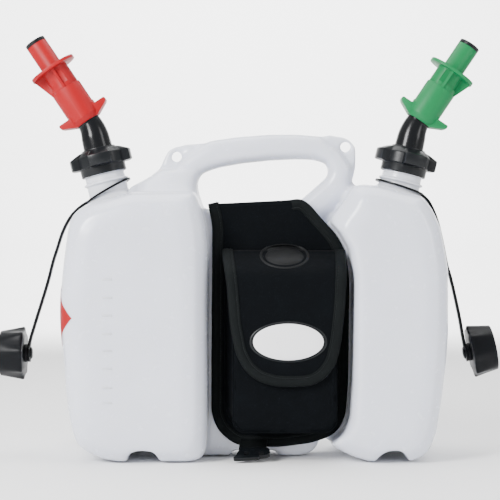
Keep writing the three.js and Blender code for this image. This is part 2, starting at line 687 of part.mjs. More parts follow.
function buildFiller(prefix, neck, colour) {
  const side = neck.x < 0 ? -1 : 1;
  const whole = new THREE.Group();
  if (side > 0) whole.rotation.z = Math.PI;
  can.add(whole);
  const onNeck = new THREE.Group();
  onNeck.position.set(neck.x * -side, 0, neck.z);
  onNeck.rotation.y = -TILT;
  whole.add(onNeck);
  const onSpout = new THREE.Group();
  onSpout.position.set(-SPOUT_OUT, 0, SPOUT_UP);
  onSpout.rotation.y = -SPOUT_BEND;
  onNeck.add(onSpout);
  const gasketFrom = NECK_TOP + GAP;
  const gasket = tube(NECK_RADIUS, NECK_BORE + 0.6, gasketFrom, gasketFrom + GASKET_THICKNESS);
  const turn = THREE.MathUtils.degToRad(neck.turn);
  addPart(onNeck, prefix + "_union_nut", unionNut(turn), "black");
  addPart(onNeck, prefix + "_neck_gasket", gasket, "rubber");
  addPart(onNeck, prefix + "_elbow", elbow(), "black");
  addPart(onNeck, prefix + "_vent_tube", ventTube(), "black");
  addPart(onSpout, prefix + "_sleeve", sleeve(), colour);
  addPart(onSpout, prefix + "_slider", slider(neck.rest), colour);
  addPart(onSpout, prefix + "_valve_stem", valveStem(neck.rest), "black");
  addPart(onSpout, prefix + "_spring", spring(neck.rest), "steel");
  const seal = tube(SLEEVE_BORE - 0.15, 13 + 0.2, -33.3, -31.1);
  addPart(onSpout, prefix + "_slider_seal", seal, "rubber");
}

// Tethered caps

function band(points, thickness, halfWidth) {
  const outline = [];
  const other = [];
  points.forEach(([x, z], i) => {
    const before = points[Math.max(0, i - 1)];
    const after = points[Math.min(points.length - 1, i + 1)];
    const along = new Vector2(after[0] - before[0], after[1] - before[1]).normalize();
    outline.push([x - (along.y * thickness) / 2, z + (along.x * thickness) / 2]);
    other.unshift([x + (along.y * thickness) / 2, z - (along.x * thickness) / 2]);
  });
  return prism([...outline, ...other], -halfWidth, halfWidth);
}

function capMatrix(cap) {
  const side = cap.x < 0 ? -1 : 1;
  const tilt = THREE.MathUtils.degToRad(cap.tilt) * side;
  return new Matrix4()
    .makeTranslation(cap.x, 0, cap.z)
    .multiply(new Matrix4().makeRotationY(tilt - (side * Math.PI) / 2));
}

function leashLine(start, end, course, side) {
  const way = new Vector2(end.x - start.x, end.z - start.z);
  const length = way.length();
  return course.map(([share, bulge]) => [
    start.x + way.x * share - (side * bulge * way.y) / length,
    start.z + way.y * share + (side * bulge * way.x) / length,
  ]);
}

// The cap's own axis runs from its top, at zero, out through boss and leash
function buildCap(prefix, neck, cap, course) {
  const side = neck.x < 0 ? -1 : 1;
  const place = capMatrix(cap);
  const eye = CAP_BOSS_HEIGHT + GAP;
  const loopTurn = THREE.MathUtils.degToRad(neck.loopTilt) * side;
  const loopPlace = neckMatrix(neck)
    .multiply(new Matrix4().makeTranslation(0, 0, -neck.loopDrop))
    .multiply(new Matrix4().makeRotationY(loopTurn));
  const half = LEASH_THICKNESS / 2;
  const loop = moved(tube(LOOP_OUTER, neck.loop, -half, half, 24), loopPlace);
  const disc = moved(cylinder(CAP_BOSS_RADIUS, eye, eye + LEASH_THICKNESS), place);
  const hole = moved(cylinder(STUD_RADIUS + GAP, eye - 2, eye + LEASH_THICKNESS + 2, 20), place);
  const start = new Vector3(side * LOOP_MIDDLE, 0, 0).applyMatrix4(loopPlace);
  const end = new Vector3(0, 0, eye + half).applyMatrix4(place);
  const strap = band(leashLine(start, end, course, side), LEASH_THICKNESS, LEASH_WIDTH / 2);
  addPart(can, prefix + "_leash", union(loop, strap, disc).subtract(hole), "black");

  const studTop = eye + LEASH_THICKNESS + GAP + BUTTON_THICKNESS;
  const shell = lobed([
    [-CAP_HEIGHT, CAP_RIM_RADIUS, CAP_RIM_RADIUS],
    [-14, CAP_RIM_RADIUS + 0.8, CAP_RIM_RADIUS + 1.2],
    [-9, CAP_RIM_RADIUS + 1.2, CAP_TOP_RADIUS - 0.8],
    [-1.2, CAP_RIM_RADIUS + 1.6, CAP_TOP_RADIUS],
    [0, CAP_RIM_RADIUS + 0.6, CAP_TOP_RADIUS - 1.2],
  ], 0.4);
  const knob = lathe([
    [0, -1], [CAP_BOSS_RADIUS, -1], [CAP_BOSS_RADIUS, CAP_BOSS_HEIGHT],
    [STUD_RADIUS, CAP_BOSS_HEIGHT], [STUD_RADIUS, studTop], [0, studTop],
  ], 20);
  const mouth = cylinder(CAP_BORE, -CAP_HEIGHT - 1, -CAP_TOP_THICKNESS);
  addPart(can, prefix + "_cap", moved(shell.add(knob).subtract(mouth), place), "black");

  const liner = cylinder(CAP_BORE - GAP, -CAP_TOP_THICKNESS - GAP - 2, -CAP_TOP_THICKNESS - GAP);
  addPart(can, prefix + "_cap_liner", moved(liner, place), "rubber");
  const buttonFrom = eye + LEASH_THICKNESS + GAP;
  const button = tube(BUTTON_RADIUS, STUD_RADIUS + GAP, buttonFrom, buttonFrom + BUTTON_THICKNESS, 20);
  addPart(can, prefix + "_cap_button", moved(button, place), "black");
}

// Bag

function ellipse(at, grow = 0, count = 28) {
  const ring = ovalRing(
    new Vector3(at.x, 0, at.z),
    new Vector3(1, 0, 0),
    new Vector3(0, 0, 1),
    at.hx + grow,
    at.hz + grow,
    2,
    count,
  );
  return ring.map(([x, , z]) => [x, z]);
}

function rectangle({ x0, x1, z0, z1 }, corner) {
  const points = [];
  const corners = [[x0, z0, 180], [x1, z0, 270], [x1, z1, 0], [x0, z1, 90]];
  const centre = [(x0 + x1) / 2, (z0 + z1) / 2];
  for (const [x, z, from] of corners) {
    for (const step of [0, 30, 60, 90]) {
      const t = THREE.MathUtils.degToRad(from + step);
      const cx = x + corner * Math.sign(centre[0] - x);
      const cz = z + corner * Math.sign(centre[1] - z);
      points.push([cx + corner * Math.cos(t), cz + corner * Math.sin(t)]);
    }
  }
  return points;
}

// Sheet bent along Y and Z, as wide as the x range: profile [y, z]
function sheet(profile, thickness, x0, x1) {
  const flat = band(profile, thickness, (x1 - x0) / 2);
  const turned = new Matrix4()
    .makeTranslation((x0 + x1) / 2, 0, 0)
    .multiply(new Matrix4().makeRotationZ(Math.PI / 2));
  return moved(flat, turned);
}

function buildBag() {
  const inner = PANEL_Y;
  const outer = PANEL_Y + PANEL_THICKNESS;
  const middle = (inner + outer) / 2;
  const core = inset(BAG_OUTLINE, 2.4);
  const top = BAG_OUTLINE[0][1] - 0.2;
  const foot = top - 13.5;
  const saddle = sheet(
    [[-middle, foot], [-middle, top - 3], [-middle + 3, top - 0.6], [middle - 3, top - 0.6],
      [middle, top - 3], [middle, foot]],
    PANEL_THICKNESS,
    -33,
    33,
  );
  const panel = prism(core, -outer, -inner).add(prism(core, inner, outer)).add(saddle);
  addPart(can, "bag_panel", panel, "cloth");

  const rim = (y0, y1) => prism(BAG_OUTLINE, y0, y1).subtract(prism(inset(BAG_OUTLINE, BINDING_WIDTH), y0 - 1, y1 + 1));
  const groove = inset(BAG_OUTLINE, 2.4 - GAP);
  const seat = (sign) => {
    const near = sign * (inner - GAP);
    const far = sign * (outer + GAP);
    return prism(groove, Math.min(near, far), Math.max(near, far));
  };
  const clear = sheet(
    [[-middle, 230], [-middle, top - 3], [-middle + 3, top - 0.6], [middle - 3, top - 0.6],
      [middle, top - 3], [middle, 230]],
    PANEL_THICKNESS + 2 * GAP,
    -33 - GAP,
    33 + GAP,
  );
  const face = outer + GAP + BINDING_COVER;
  const frontRim = rim(-face, -inner + GAP).subtract(seat(-1)).subtract(clear);
  const backRim = rim(inner - GAP, face).subtract(seat(1)).subtract(clear);
  addPart(can, "bag_front_binding", frontRim, "cloth");
  addPart(can, "bag_back_binding", backRim, "cloth");

  const base = rectangle(POUCH_BASE, 24);
  const front = rectangle(POUCH_FACE, 12);
  const ring = (points, y) => points.map(([x, z]) => [x, y, z]);
  const start = outer + GAP;
  const pouchOuter = loft([
    ring(inset(front, 3), -POUCH_FRONT_Y),
    ring(front, -POUCH_FRONT_Y + 3),
    ring(base, -start),
  ]);
  const pouchInner = loft([
    ring(inset(front, CLOTH + 2), -POUCH_FRONT_Y + CLOTH),
    ring(inset(front, CLOTH), -POUCH_FRONT_Y + CLOTH + 3),
    ring(inset(base, CLOTH), -start + 1),
  ]);
  const mouthCut = box(-60, 120, -90, 0, 176, 220);
  const openTop = loft([
    ring(inset(front, CLOTH).map(([x, z]) => [x, z + (z > 100 ? 30 : 0)]), -POUCH_FRONT_Y + CLOTH + 1),
    ring(inset(base, CLOTH).map(([x, z]) => [x, z + (z > 100 ? 30 : 0)]), -start + 1),
  ]);
  const pouch = pouchOuter.subtract(mouthCut).subtract(pouchInner).subtract(openTop);
  addPart(can, "bag_pouch", pouch, "cloth");

  const flapMiddle = FLAP_Y + CLOTH / 2;
  const bend = [
    [-start - CLOTH / 2, 206], [-start - CLOTH / 2 - 2, 204.5], [-50, 198], [-62, 191],
    [-flapMiddle + 1, 184], [-flapMiddle, 176], [-flapMiddle, 60],
  ];
  const flapCore = prism(inset(FLAP_OUTLINE, 2.2), -100, 0);
  const flap = sheet(bend, CLOTH, -40, 110).intersect(flapCore);
  addPart(can, "bag_flap", flap, "cloth");
  const tape = sheet(bend, CLOTH + 2 * GAP + 2 * BINDING_COVER, -40, 110)
    .intersect(prism(FLAP_OUTLINE, -100, 0))
    .subtract(prism(inset(FLAP_OUTLINE, BINDING_WIDTH), -100, 0))
    .subtract(sheet(bend, CLOTH + 2 * GAP, -40, 110).intersect(prism(inset(FLAP_OUTLINE, 2.2 - GAP), -100, 0)))
    .subtract(box(-60, 120, -80, 0, 176, 230));
  addPart(can, "bag_flap_binding", tape, "cloth");

  const padBack = POUCH_FRONT_Y + GAP;
  const hook = box(12, 58, -padBack - 1, -padBack, 88, 106);
  addPart(can, "bag_hook_pad", hook, "cloth");
  const loopPad = box(12, 58, -FLAP_Y + GAP, -FLAP_Y + GAP + 0.9, 88, 106);
  addPart(can, "bag_loop_pad", loopPad, "cloth");

  const badgeY = FLAP_Y + CLOTH + GAP;
  addPart(can, "bag_badge", prism(ellipse(BADGE), -badgeY - BADGE.thickness, -badgeY), "badge");

  const portY = 56;
  const lens = prism(ellipse(PORT, -3.4), -portY - 2, -outer - 4);
  const crescent = prism(ellipse(PORT), -portY, -portY + 3)
    .subtract(prism(ellipse(PORT, -3.4 - GAP), -portY - 1, 0));
  const cleared = sheet(bend, CLOTH + 2 * GAP, -40, 110);
  const port = crescent.add(lens).subtract(cleared);
  const [shown] = port.decompose().sort((a, b) => b.volume() - a.volume());
  addPart(can, "bag_port", shown, "black");
}

function buildStrap() {
  const y = PANEL_Y + PANEL_THICKNESS + GAP + BINDING_COVER + GAP + STRAP_THICKNESS / 2;
  const x0 = STRAP_X - STRAP_WIDTH / 2;
  const x1 = STRAP_X + STRAP_WIDTH / 2;
  const webbing = sheet(
    [[y, 34], [y, 8], [y - 3, 4.2], [y - 8, 3.2], [-y + 8, 3.2], [-y + 2, 4], [-y - 2, 6.5]],
    STRAP_THICKNESS,
    x0,
    x1,
  );
  addPart(can, "bag_strap", webbing, "cloth");
}

buildBody();
buildFiller("fuel", FUEL_NECK, "red");
buildFiller("oil", OIL_NECK, "green");
buildCap("fuel", FUEL_NECK, FUEL_CAP, FUEL_LEASH);
buildCap("oil", OIL_NECK, OIL_CAP, OIL_LEASH);
buildBag();
buildStrap();

const bounds = new THREE.Box3().setFromObject(can, true);
can.position.set(-(bounds.min.x + bounds.max.x) / 2, 0, -bounds.min.z);

export default can;
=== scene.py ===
"""Combination fuel can with two spring-loaded fillers, tethered caps and a tool bag."""

import math

import bmesh
import bpy
from mathutils import Matrix, Vector, noise
from mathutils.bvhtree import BVHTree


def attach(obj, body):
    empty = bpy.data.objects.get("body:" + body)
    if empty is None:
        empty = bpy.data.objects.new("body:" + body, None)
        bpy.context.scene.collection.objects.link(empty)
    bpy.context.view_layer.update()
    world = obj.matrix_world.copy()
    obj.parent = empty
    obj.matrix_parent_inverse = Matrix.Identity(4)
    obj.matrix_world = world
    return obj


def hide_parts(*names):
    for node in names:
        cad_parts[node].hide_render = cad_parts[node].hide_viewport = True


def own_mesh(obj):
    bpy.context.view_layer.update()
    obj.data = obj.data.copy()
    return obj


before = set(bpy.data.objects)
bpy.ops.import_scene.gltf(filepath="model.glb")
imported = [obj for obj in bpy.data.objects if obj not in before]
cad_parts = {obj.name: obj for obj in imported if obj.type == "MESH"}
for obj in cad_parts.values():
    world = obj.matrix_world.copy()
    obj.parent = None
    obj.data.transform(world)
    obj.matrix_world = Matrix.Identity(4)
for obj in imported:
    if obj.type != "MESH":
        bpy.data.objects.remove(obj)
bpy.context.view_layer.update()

# Stage, camera and light
# A pale seamless floor with large soft lamps, as in a catalogue photograph.
# One pixel of the photograph is one millimetre in the can's middle plane.
MM = 0.001
SHIFT = 0.498
EYE_DISTANCE = 1.5
EYE_HEIGHT = 0.2045
VIEW_WIDTH = 0.5
SENSOR_WIDTH = 36
FLOOR_HALF_WIDTH = 5
FLOOR_ROWS = [(-4.0, 0), (2.7, 0), (3.05, 0.05), (3.35, 0.2), (3.55, 0.5), (3.6, 3.5)]
LAMPS = [
    ("key", (-1.1, -1.3, 1.0), (0, 0, 0.2), (0.6, 0.9), 58),
    ("fill", (1.4, -0.9, 0.9), (0, 0, 0.2), (0.5, 1.2), 11),
    ("top", (0, 0.3, 1.7), (0, 0, 0.1), (1.8, 1.2), 30),
    ("back", (0, 2.2, 1.4), (0, 3.6, 0.6), (3.0, 1.2), 150),
]


def link(name, data, material=None):
    """A new object in the scene: a mesh with its material, a lamp or the camera."""
    item = bpy.data.objects.new(name, data)
    bpy.context.scene.collection.objects.link(item)
    if material:
        data.materials.append(material)
    return item


def soft_lamp(name, place, target, size, power):
    data = bpy.data.lights.new(name, "AREA")
    data.shape = "RECTANGLE"
    data.size, data.size_y = size
    data.energy = power
    lamp = link(name, data)
    lamp.location = place
    lamp.rotation_euler = (Vector(target) - Vector(place)).to_track_quat("-Z", "Y").to_euler()


def build_camera():
    data = bpy.data.cameras.new("camera")
    data.sensor_width = SENSOR_WIDTH
    data.lens = SENSOR_WIDTH * EYE_DISTANCE / VIEW_WIDTH
    camera = link("camera", data)
    camera.location = (SHIFT * MM, -EYE_DISTANCE, EYE_HEIGHT)
    camera.rotation_euler = (math.pi / 2, 0, 0)
    bpy.context.scene.camera = camera


def build_floor():
    mesh = bpy.data.meshes.new("floor")
    verts = [(x, y, z) for y, z in FLOOR_ROWS for x in (-FLOOR_HALF_WIDTH, FLOOR_HALF_WIDTH)]
    faces = [(2 * i, 2 * i + 1, 2 * i + 3, 2 * i + 2) for i in range(len(FLOOR_ROWS) - 1)]
    mesh.from_pydata(verts, [], faces)
    mesh.shade_smooth()
    paper = bpy.data.materials.new("floor_paper")
    paper.use_nodes = True
    shader = paper.node_tree.nodes["Principled BSDF"]
    shader.inputs["Base Color"].default_value = (0.93, 0.93, 0.93, 1)
    shader.inputs["Roughness"].default_value = 0.85
    link("floor", mesh, paper)


def build_studio_light():
    world = bpy.data.worlds.new("studio")
    world.use_nodes = True
    back = world.node_tree.nodes["Background"]
    back.inputs["Color"].default_value = (1, 1, 1, 1)
    back.inputs["Strength"].default_value = 0.8
    bpy.context.scene.world = world
    for name, place, target, size, power in LAMPS:
        soft_lamp(name, place, target, size, power)


build_camera()
build_floor()
build_studio_light()

# Can body
# One blow-moulded shell of natural polyethylene: two chambers, and the arched
# hollow handle with its pinched eyelets.
PART = Matrix.Scale(MM, 4) @ Matrix.Translation((SHIFT, 0, 0))
TILT = math.radians(13.8)
FUEL_NECK = Matrix.Translation((-145.5, 0, 280.2)) @ Matrix.Rotation(-TILT, 4, "Y")
OIL_NECK = (
    Matrix.Translation((152.4, 0, 280.6))
    @ Matrix.Rotation(TILT, 4, "Y")
    @ Matrix.Rotation(math.pi, 4, "Z")
)
NECKS = {"fuel": (FUEL_NECK, -24.4), "oil": (OIL_NECK, -17.1)}
NECK_BORE = 17
BODY_VOXEL = 2.4


def new_group(name, inputs, outputs):
    """A node group with its sockets, and the nodes at its two ends."""
    tree = bpy.data.node_groups.new(name, "ShaderNodeTree")
    for label, kind, value in inputs:
        socket = tree.interface.new_socket(label, in_out="INPUT", socket_type=kind)
        socket.default_value = value
    for label, kind in outputs:
        tree.interface.new_socket(label, in_out="OUTPUT", socket_type=kind)
    return tree, tree.nodes.new("NodeGroupInput"), tree.nodes.new("NodeGroupOutput")


def add_node(tree, kind, links=(), **values):
    """A node with its settings; each input gets either another node's output or a value."""
    made = tree.nodes.new(kind)
    for key, value in values.items():
        setattr(made, key, value)
    for socket, source in links:
        if hasattr(source, "is_output"):
            tree.links.new(source, made.inputs[socket])
        else:
            made.inputs[socket].default_value = source
    return made


def moulded_group():
    """Colour drift, grain bump and rubbed edges of a moulded plastic."""
    tree, given, result = new_group(
        "moulded_plastic",
        [("Color", "NodeSocketColor", (0.5, 0.5, 0.5, 1)), ("Worn Color", "NodeSocketColor", (1, 1, 1, 1)),
         ("Roughness", "NodeSocketFloat", 0.4), ("Grain", "NodeSocketFloat", 0.3),
         ("Drift", "NodeSocketFloat", 0.05)],
        [("Color", "NodeSocketColor"), ("Roughness", "NodeSocketFloat"), ("Normal", "NodeSocketVector")],
    )
    place = add_node(tree, "ShaderNodeTexCoord").outputs["Object"]
    cloud = add_node(tree, "ShaderNodeTexNoise", [("Vector", place), ("Scale", 22.0), ("Detail", 4.0)])
    grain = add_node(tree, "ShaderNodeTexNoise", [("Vector", place), ("Scale", 1500.0), ("Detail", 2.0)])
    smear = add_node(tree, "ShaderNodeTexNoise", [("Vector", place), ("Scale", 140.0), ("Detail", 3.0)])
    centred = add_node(tree, "ShaderNodeMath", [(0, cloud.outputs["Fac"]), (1, 0.5)], operation="SUBTRACT")
    swing = add_node(
        tree, "ShaderNodeMath", [(0, centred.outputs[0]), (1, given.outputs["Drift"])], operation="MULTIPLY"
    )
    value = add_node(tree, "ShaderNodeMath", [(0, swing.outputs[0]), (1, 1.0)], operation="ADD")
    tinted = add_node(
        tree, "ShaderNodeHueSaturation", [("Color", given.outputs["Color"]), ("Value", value.outputs[0])]
    )
    geometry = add_node(tree, "ShaderNodeNewGeometry")
    edge = add_node(
        tree, "ShaderNodeMapRange",
        [("Value", geometry.outputs["Pointiness"]), ("From Min", 0.52), ("From Max", 0.62),
         ("To Max", 0.35)],
    )
    rubbed = add_node(
        tree, "ShaderNodeMath", [(0, edge.outputs["Result"]), (1, smear.outputs["Fac"])],
        operation="MULTIPLY",
    )
    mixed = add_node(
        tree, "ShaderNodeMix",
        [(0, rubbed.outputs[0]), (6, tinted.outputs["Color"]), (7, given.outputs["Worn Color"])],
        data_type="RGBA",
    )
    uneven = add_node(
        tree, "ShaderNodeMath", [(0, smear.outputs["Fac"]), (1, 0.16)], operation="MULTIPLY_ADD"
    )
    tree.links.new(given.outputs["Roughness"], uneven.inputs[2])
    lower = add_node(tree, "ShaderNodeMath", [(0, uneven.outputs[0]), (1, 0.08)], operation="SUBTRACT")
    bump = add_node(
        tree, "ShaderNodeBump",
        [("Strength", given.outputs["Grain"]), ("Distance", 0.0002), ("Height", grain.outputs["Fac"])],
    )
    tree.links.new(mixed.outputs[2], result.inputs["Color"])
    tree.links.new(lower.outputs[0], result.inputs["Roughness"])
    tree.links.new(bump.outputs["Normal"], result.inputs["Normal"])
    return tree


MOULDED = moulded_group()


def material_of(name, tree, given, **shader_values):
    """A Principled material whose colour, roughness and normal come from a shared group."""
    made = bpy.data.materials.new(name)
    made.use_nodes = True
    nodes, links = made.node_tree.nodes, made.node_tree.links
    shader = nodes["Principled BSDF"]
    for key, value in shader_values.items():
        shader.inputs[key.replace("_", " ").title().replace("Ior", "IOR")].default_value = value
    effect = nodes.new("ShaderNodeGroup")
    effect.node_tree = tree
    for key, value in given.items():
        effect.inputs[key].default_value = value
    links.new(effect.outputs["Color"], shader.inputs["Base Color"])
    links.new(effect.outputs["Roughness"], shader.inputs["Roughness"])
    links.new(effect.outputs["Normal"], shader.inputs["Normal"])
    return made


def plastic(name, colour, worn, roughness, grain, drift, **shader_values):
    """A moulded plastic, with the colour of its rubbed edges."""
    given = {
        "Color": (*colour, 1), "Worn Color": (*worn, 1), "Roughness": roughness, "Grain": grain,
        "Drift": drift,
    }
    return material_of(name, MOULDED, given, **shader_values)


NATURAL = plastic(
    "natural_polyethylene", (0.70, 0.725, 0.81), (0.9, 0.9, 0.93), 0.25, 0.12, 0.12,
    specular_ior_level=0.7, subsurface_weight=0.3, subsurface_radius=(0.02, 0.022, 0.028),
    subsurface_scale=0.5,
)


def mesh_from(name, verts, faces, matrix):
    """A clean mesh, in the frame's metres, with its faces turned outward."""
    mesh = bpy.data.meshes.new(name)
    mesh.from_pydata([matrix @ Vector(v) for v in verts], [], faces)
    mesh.validate()
    work = bmesh.new()
    work.from_mesh(mesh)
    bmesh.ops.remove_doubles(work, verts=work.verts, dist=1e-6)
    bmesh.ops.recalc_face_normals(work, faces=work.faces)
    work.to_mesh(mesh)
    work.free()
    return mesh


def bake(item):
    """Turns the object's modifiers into its mesh."""
    bpy.context.view_layer.update()
    graph = bpy.context.evaluated_depsgraph_get()
    mesh = bpy.data.meshes.new_from_object(item.evaluated_get(graph))
    item.modifiers.clear()
    item.data = mesh


def shade(item, angle):
    """Smooth shading, broken at edges sharper than the angle in degrees."""
    work = bmesh.new()
    work.from_mesh(item.data)
    for edge in work.edges:
        edge.smooth = edge.calc_face_angle(0) < math.radians(angle)
    for face in work.faces:
        face.smooth = True
    work.to_mesh(item.data)
    work.free()


def combine(item, other, operation):
    """Boolean of two objects; the second one is used up."""
    step = item.modifiers.new("boolean", "BOOLEAN")
    step.operation = operation
    step.solver = "EXACT"
    step.object = other
    bake(item)
    bpy.data.objects.remove(other)


def repaint(item, material):
    """Gives the whole piece one material."""
    item.data.materials.clear()
    item.data.materials.append(material)


def install(item, body, nodes=()):
    """Puts a finished piece on its body and hides the solids that it stands for."""
    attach(item, body)
    if nodes:
        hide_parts(*nodes)
    return item


def lathe(profile, segments=72, closed=False):
    """Vertices and faces of a turned form; a profile point is (radius, height)."""
    verts = []
    rings = []
    for radius, height in profile:
        if radius < 1e-6:
            rings.append([len(verts)] * segments)
            verts.append((0, 0, height))
            continue
        rings.append(list(range(len(verts), len(verts) + segments)))
        for i in range(segments):
            angle = 2 * math.pi * i / segments
            verts.append((radius * math.cos(angle), radius * math.sin(angle), height))
    pairs = list(zip(rings, rings[1:]))
    if closed:
        pairs.append((rings[-1], rings[0]))
    faces = []
    for low, high in pairs:
        for i in range(segments):
            j = (i + 1) % segments
            face = []
            for index in (low[i], low[j], high[j], high[i]):
                if index not in face:
                    face.append(index)
            if len(face) > 2:
                faces.append(face)
    return verts, faces


def loft(rings, caps=True):
    """Vertices and faces of the skin over a row of rings with equal counts."""
    count = len(rings[0])
    verts = [tuple(p) for ring in rings for p in ring]
    faces = []
    for r in range(len(rings) - 1):
        for i in range(count):
            j = (i + 1) % count
            faces.append((r * count + i, r * count + j, (r + 1) * count + j, (r + 1) * count + i))
    if caps:
        faces.append(tuple(reversed(range(count))))
        faces.append(tuple(range((len(rings) - 1) * count, len(rings) * count)))
    return verts, faces


def prism(outline, y0, y1):
    """An outline of (x, z) points drawn out from front to back."""
    return loft([[(x, y, z) for x, z in outline] for y in (y0, y1)])


def solid(name, shape, matrix, material=None):
    """An object from vertices and faces given in millimetres at the piece's own place."""
    verts, faces = shape
    return link(name, mesh_from(name, verts, faces, PART @ matrix), material)


def outer_skin():
    """The CAD shell without its cavity: faces that see daylight sideways stay."""
    work = bmesh.new()
    work.from_mesh(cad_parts["can_body"].data)
    bmesh.ops.remove_doubles(work, verts=work.verts, dist=1e-6)
    tree = BVHTree.FromBMesh(work)
    rays = [Vector((math.cos(a), math.sin(a), 0)) for a in (i * math.pi / 4 for i in range(8))]
    doomed = []
    for face in work.faces:
        start = face.calc_center_median() + face.normal * 2e-4
        if all(tree.ray_cast(start, ray)[0] for ray in rays):
            doomed.append(face)
    bmesh.ops.delete(work, geom=doomed, context="FACES")
    bmesh.ops.holes_fill(work, edges=[e for e in work.edges if e.is_boundary], sides=0)
    bmesh.ops.triangulate(work, faces=work.faces)
    mesh = bpy.data.meshes.new("can_skin")
    work.to_mesh(mesh)
    work.free()
    return link("can_skin", mesh)


def build_can():
    skin = outer_skin()
    wedge = [(-118.6, 258), (-118.6, 267.8), (-113, 270.0), (-106, 273.5), (-100, 258)]
    combine(skin, solid("shoulder_filling", prism(wedge, -13, 13), Matrix()), "UNION")
    remesh = skin.modifiers.new("remesh", "REMESH")
    remesh.mode = "VOXEL"
    remesh.voxel_size = BODY_VOXEL * MM
    smooth = skin.modifiers.new("smooth", "SMOOTH")
    smooth.factor = 0.5
    smooth.iterations = 14
    bake(skin)
    for neck, shoulder in NECKS.values():
        above = [(0, shoulder + 0.5), (21.6, shoulder + 0.5), (25.3, shoulder + 7), (25.3, 40), (0, 40)]
        combine(skin, solid("above_shoulder", lathe(above, 48), neck), "DIFFERENCE")
        bore = [(0, shoulder - 45), (NECK_BORE, shoulder - 45), (NECK_BORE, shoulder + 5), (0, shoulder + 5)]
        combine(skin, solid("bore", lathe(bore, 64), neck), "DIFFERENCE")
    shade(skin, 50)
    repaint(skin, NATURAL)
    return install(skin, "can", ["can_body"])


can_skin = build_can()

# Threaded necks
# Blown in one with the shell: each has a bead that keeps the leash's loop from
# slipping off, and a raised outside thread for the union nut or the cap.
NECK_TOP = 17
NECK_RADIUS = 19.7
BEAD_RADIUS = 22.2
THREAD_PITCH = 5.0
THREAD_RUN_IN = 8


def arc_corners(points, radius, steps=3):
    """Profile with its inner corners rounded off."""
    points = [Vector(p) for p in points]
    made = [points[0]]
    for before, corner, after in zip(points, points[1:], points[2:]):
        reach = min(radius, (corner - before).length * 0.45, (after - corner).length * 0.45)
        start = corner + (before - corner).normalized() * reach
        end = corner + (after - corner).normalized() * reach
        for i in range(steps + 1):
            t = i / steps
            made.append(start * (1 - t) ** 2 + corner * (2 * t * (1 - t)) + end * t ** 2)
    made.append(points[-1])
    return [tuple(p) for p in made]


def fitted(name, shape, matrix, material, angle, body, nodes=()):
    """A solid that needs no more work than its shading, put on its body."""
    item = solid(name, shape, matrix, material)
    shade(item, angle)
    return install(item, body, nodes)


def thread_ridge(root, radius, height, width, z0, z1, per_turn=48):
    """A screw thread's ridge; a negative height turns it toward the axis."""
    count = int((z1 - z0) / THREAD_PITCH * per_turn)
    rings = []
    for i in range(count + 1):
        angle = 2 * math.pi * i / per_turn
        z = z0 + (z1 - z0) * i / count
        crest = radius + height * min(1, i / THREAD_RUN_IN, (count - i) / THREAD_RUN_IN)
        section = [(root, -width), (crest, -width * 0.35), (crest, width * 0.35), (root, width)]
        rings.append([(r * math.cos(angle), r * math.sin(angle), z + dz) for r, dz in section])
    return loft(rings)


def build_neck(side):
    neck, shoulder = NECKS[side]
    profile = arc_corners([
        (NECK_BORE, shoulder - 3), (NECK_BORE, NECK_TOP), (NECK_RADIUS - 0.3, NECK_TOP),
        (NECK_RADIUS, NECK_TOP - 0.5), (NECK_RADIUS, -6.4), (BEAD_RADIUS, -7), (BEAD_RADIUS, -8.8),
        (19.9, -9.6), (19.9, shoulder + 5), (21.5, shoulder + 1.5), (25.5, shoulder - 2.6),
    ], 1.0)
    wall = lathe(profile, 96, closed=True)
    fitted("can_neck_" + side, wall, neck, NATURAL, 40, "can")
    thread = thread_ridge(19.0, 19.6, 0.9, 1.6, -2.0, 14.0)
    fitted("can_thread_" + side, thread, neck, NATURAL, 40, "can")


build_neck("fuel")
build_neck("oil")

# Level marks
# Short bars on the fuel chamber's face, cut in the mould and blown with the
# shell, against which the level is read through the wall.
MARK_HEIGHTS = [176.5, 159.1, 142.4, 124.8, 108.7, 91.6, 73.5, 59.3]
MARK_LEFT, MARK_RIGHT = -140.2, -130.8
MARK_FRONT, MARK_BACK = -77.95, -77.0
MARK_HALF = 0.9


def box_shape(x0, x1, y0, y1, z0, z1):
    return prism([(x0, z0), (x1, z0), (x1, z1), (x0, z1)], y0, y1)


def soften_edges(item, width, angle):
    """A small bevel on the sharp edges, and smooth shading over the rest."""
    if width:
        bevel = item.modifiers.new("bevel", "BEVEL")
        bevel.width = width * MM
        bevel.segments = 2
        bevel.limit_method = "ANGLE"
        bevel.angle_limit = math.radians(angle)
        bevel.use_clamp_overlap = True
        bake(item)
    shade(item, angle)


for number, level in enumerate(MARK_HEIGHTS):
    bar = box_shape(MARK_LEFT, MARK_RIGHT, MARK_FRONT, MARK_BACK, level - MARK_HALF, level + MARK_HALF)
    mark = solid("can_tick_%d" % number, bar, Matrix(), NATURAL)
    soften_edges(mark, 0.35, 35)
    install(mark, "can")

# Red lozenge
# A square vinyl sticker on the fuel chamber's end wall, set on one corner and
# laid round the edge toward the front.
STICKER = plastic(
    "sticker_vinyl", (0.30, 0.0008, 0.0038), (0.5, 0.05, 0.05), 0.42, 0.1, 0.06, specular_ior_level=0.25,
)
STICKER_HALF = 42.5
STICKER_HEIGHT = 139.5
STICKER_PATH = 35.0
STICKER_STEPS = 22
WALL_X = -180.0
WALL_HALF_FLAT = 53.5
WALL_CORNER = 24.0
STICKER_THICKNESS = 0.2
STICKER_LIFT = 0.25


def thicken(item, thickness, offset):
    """Gives a single layer of faces its thickness in millimetres."""
    thick = item.modifiers.new("thickness", "SOLIDIFY")
    thick.thickness = thickness * MM
    thick.offset = offset
    bake(item)


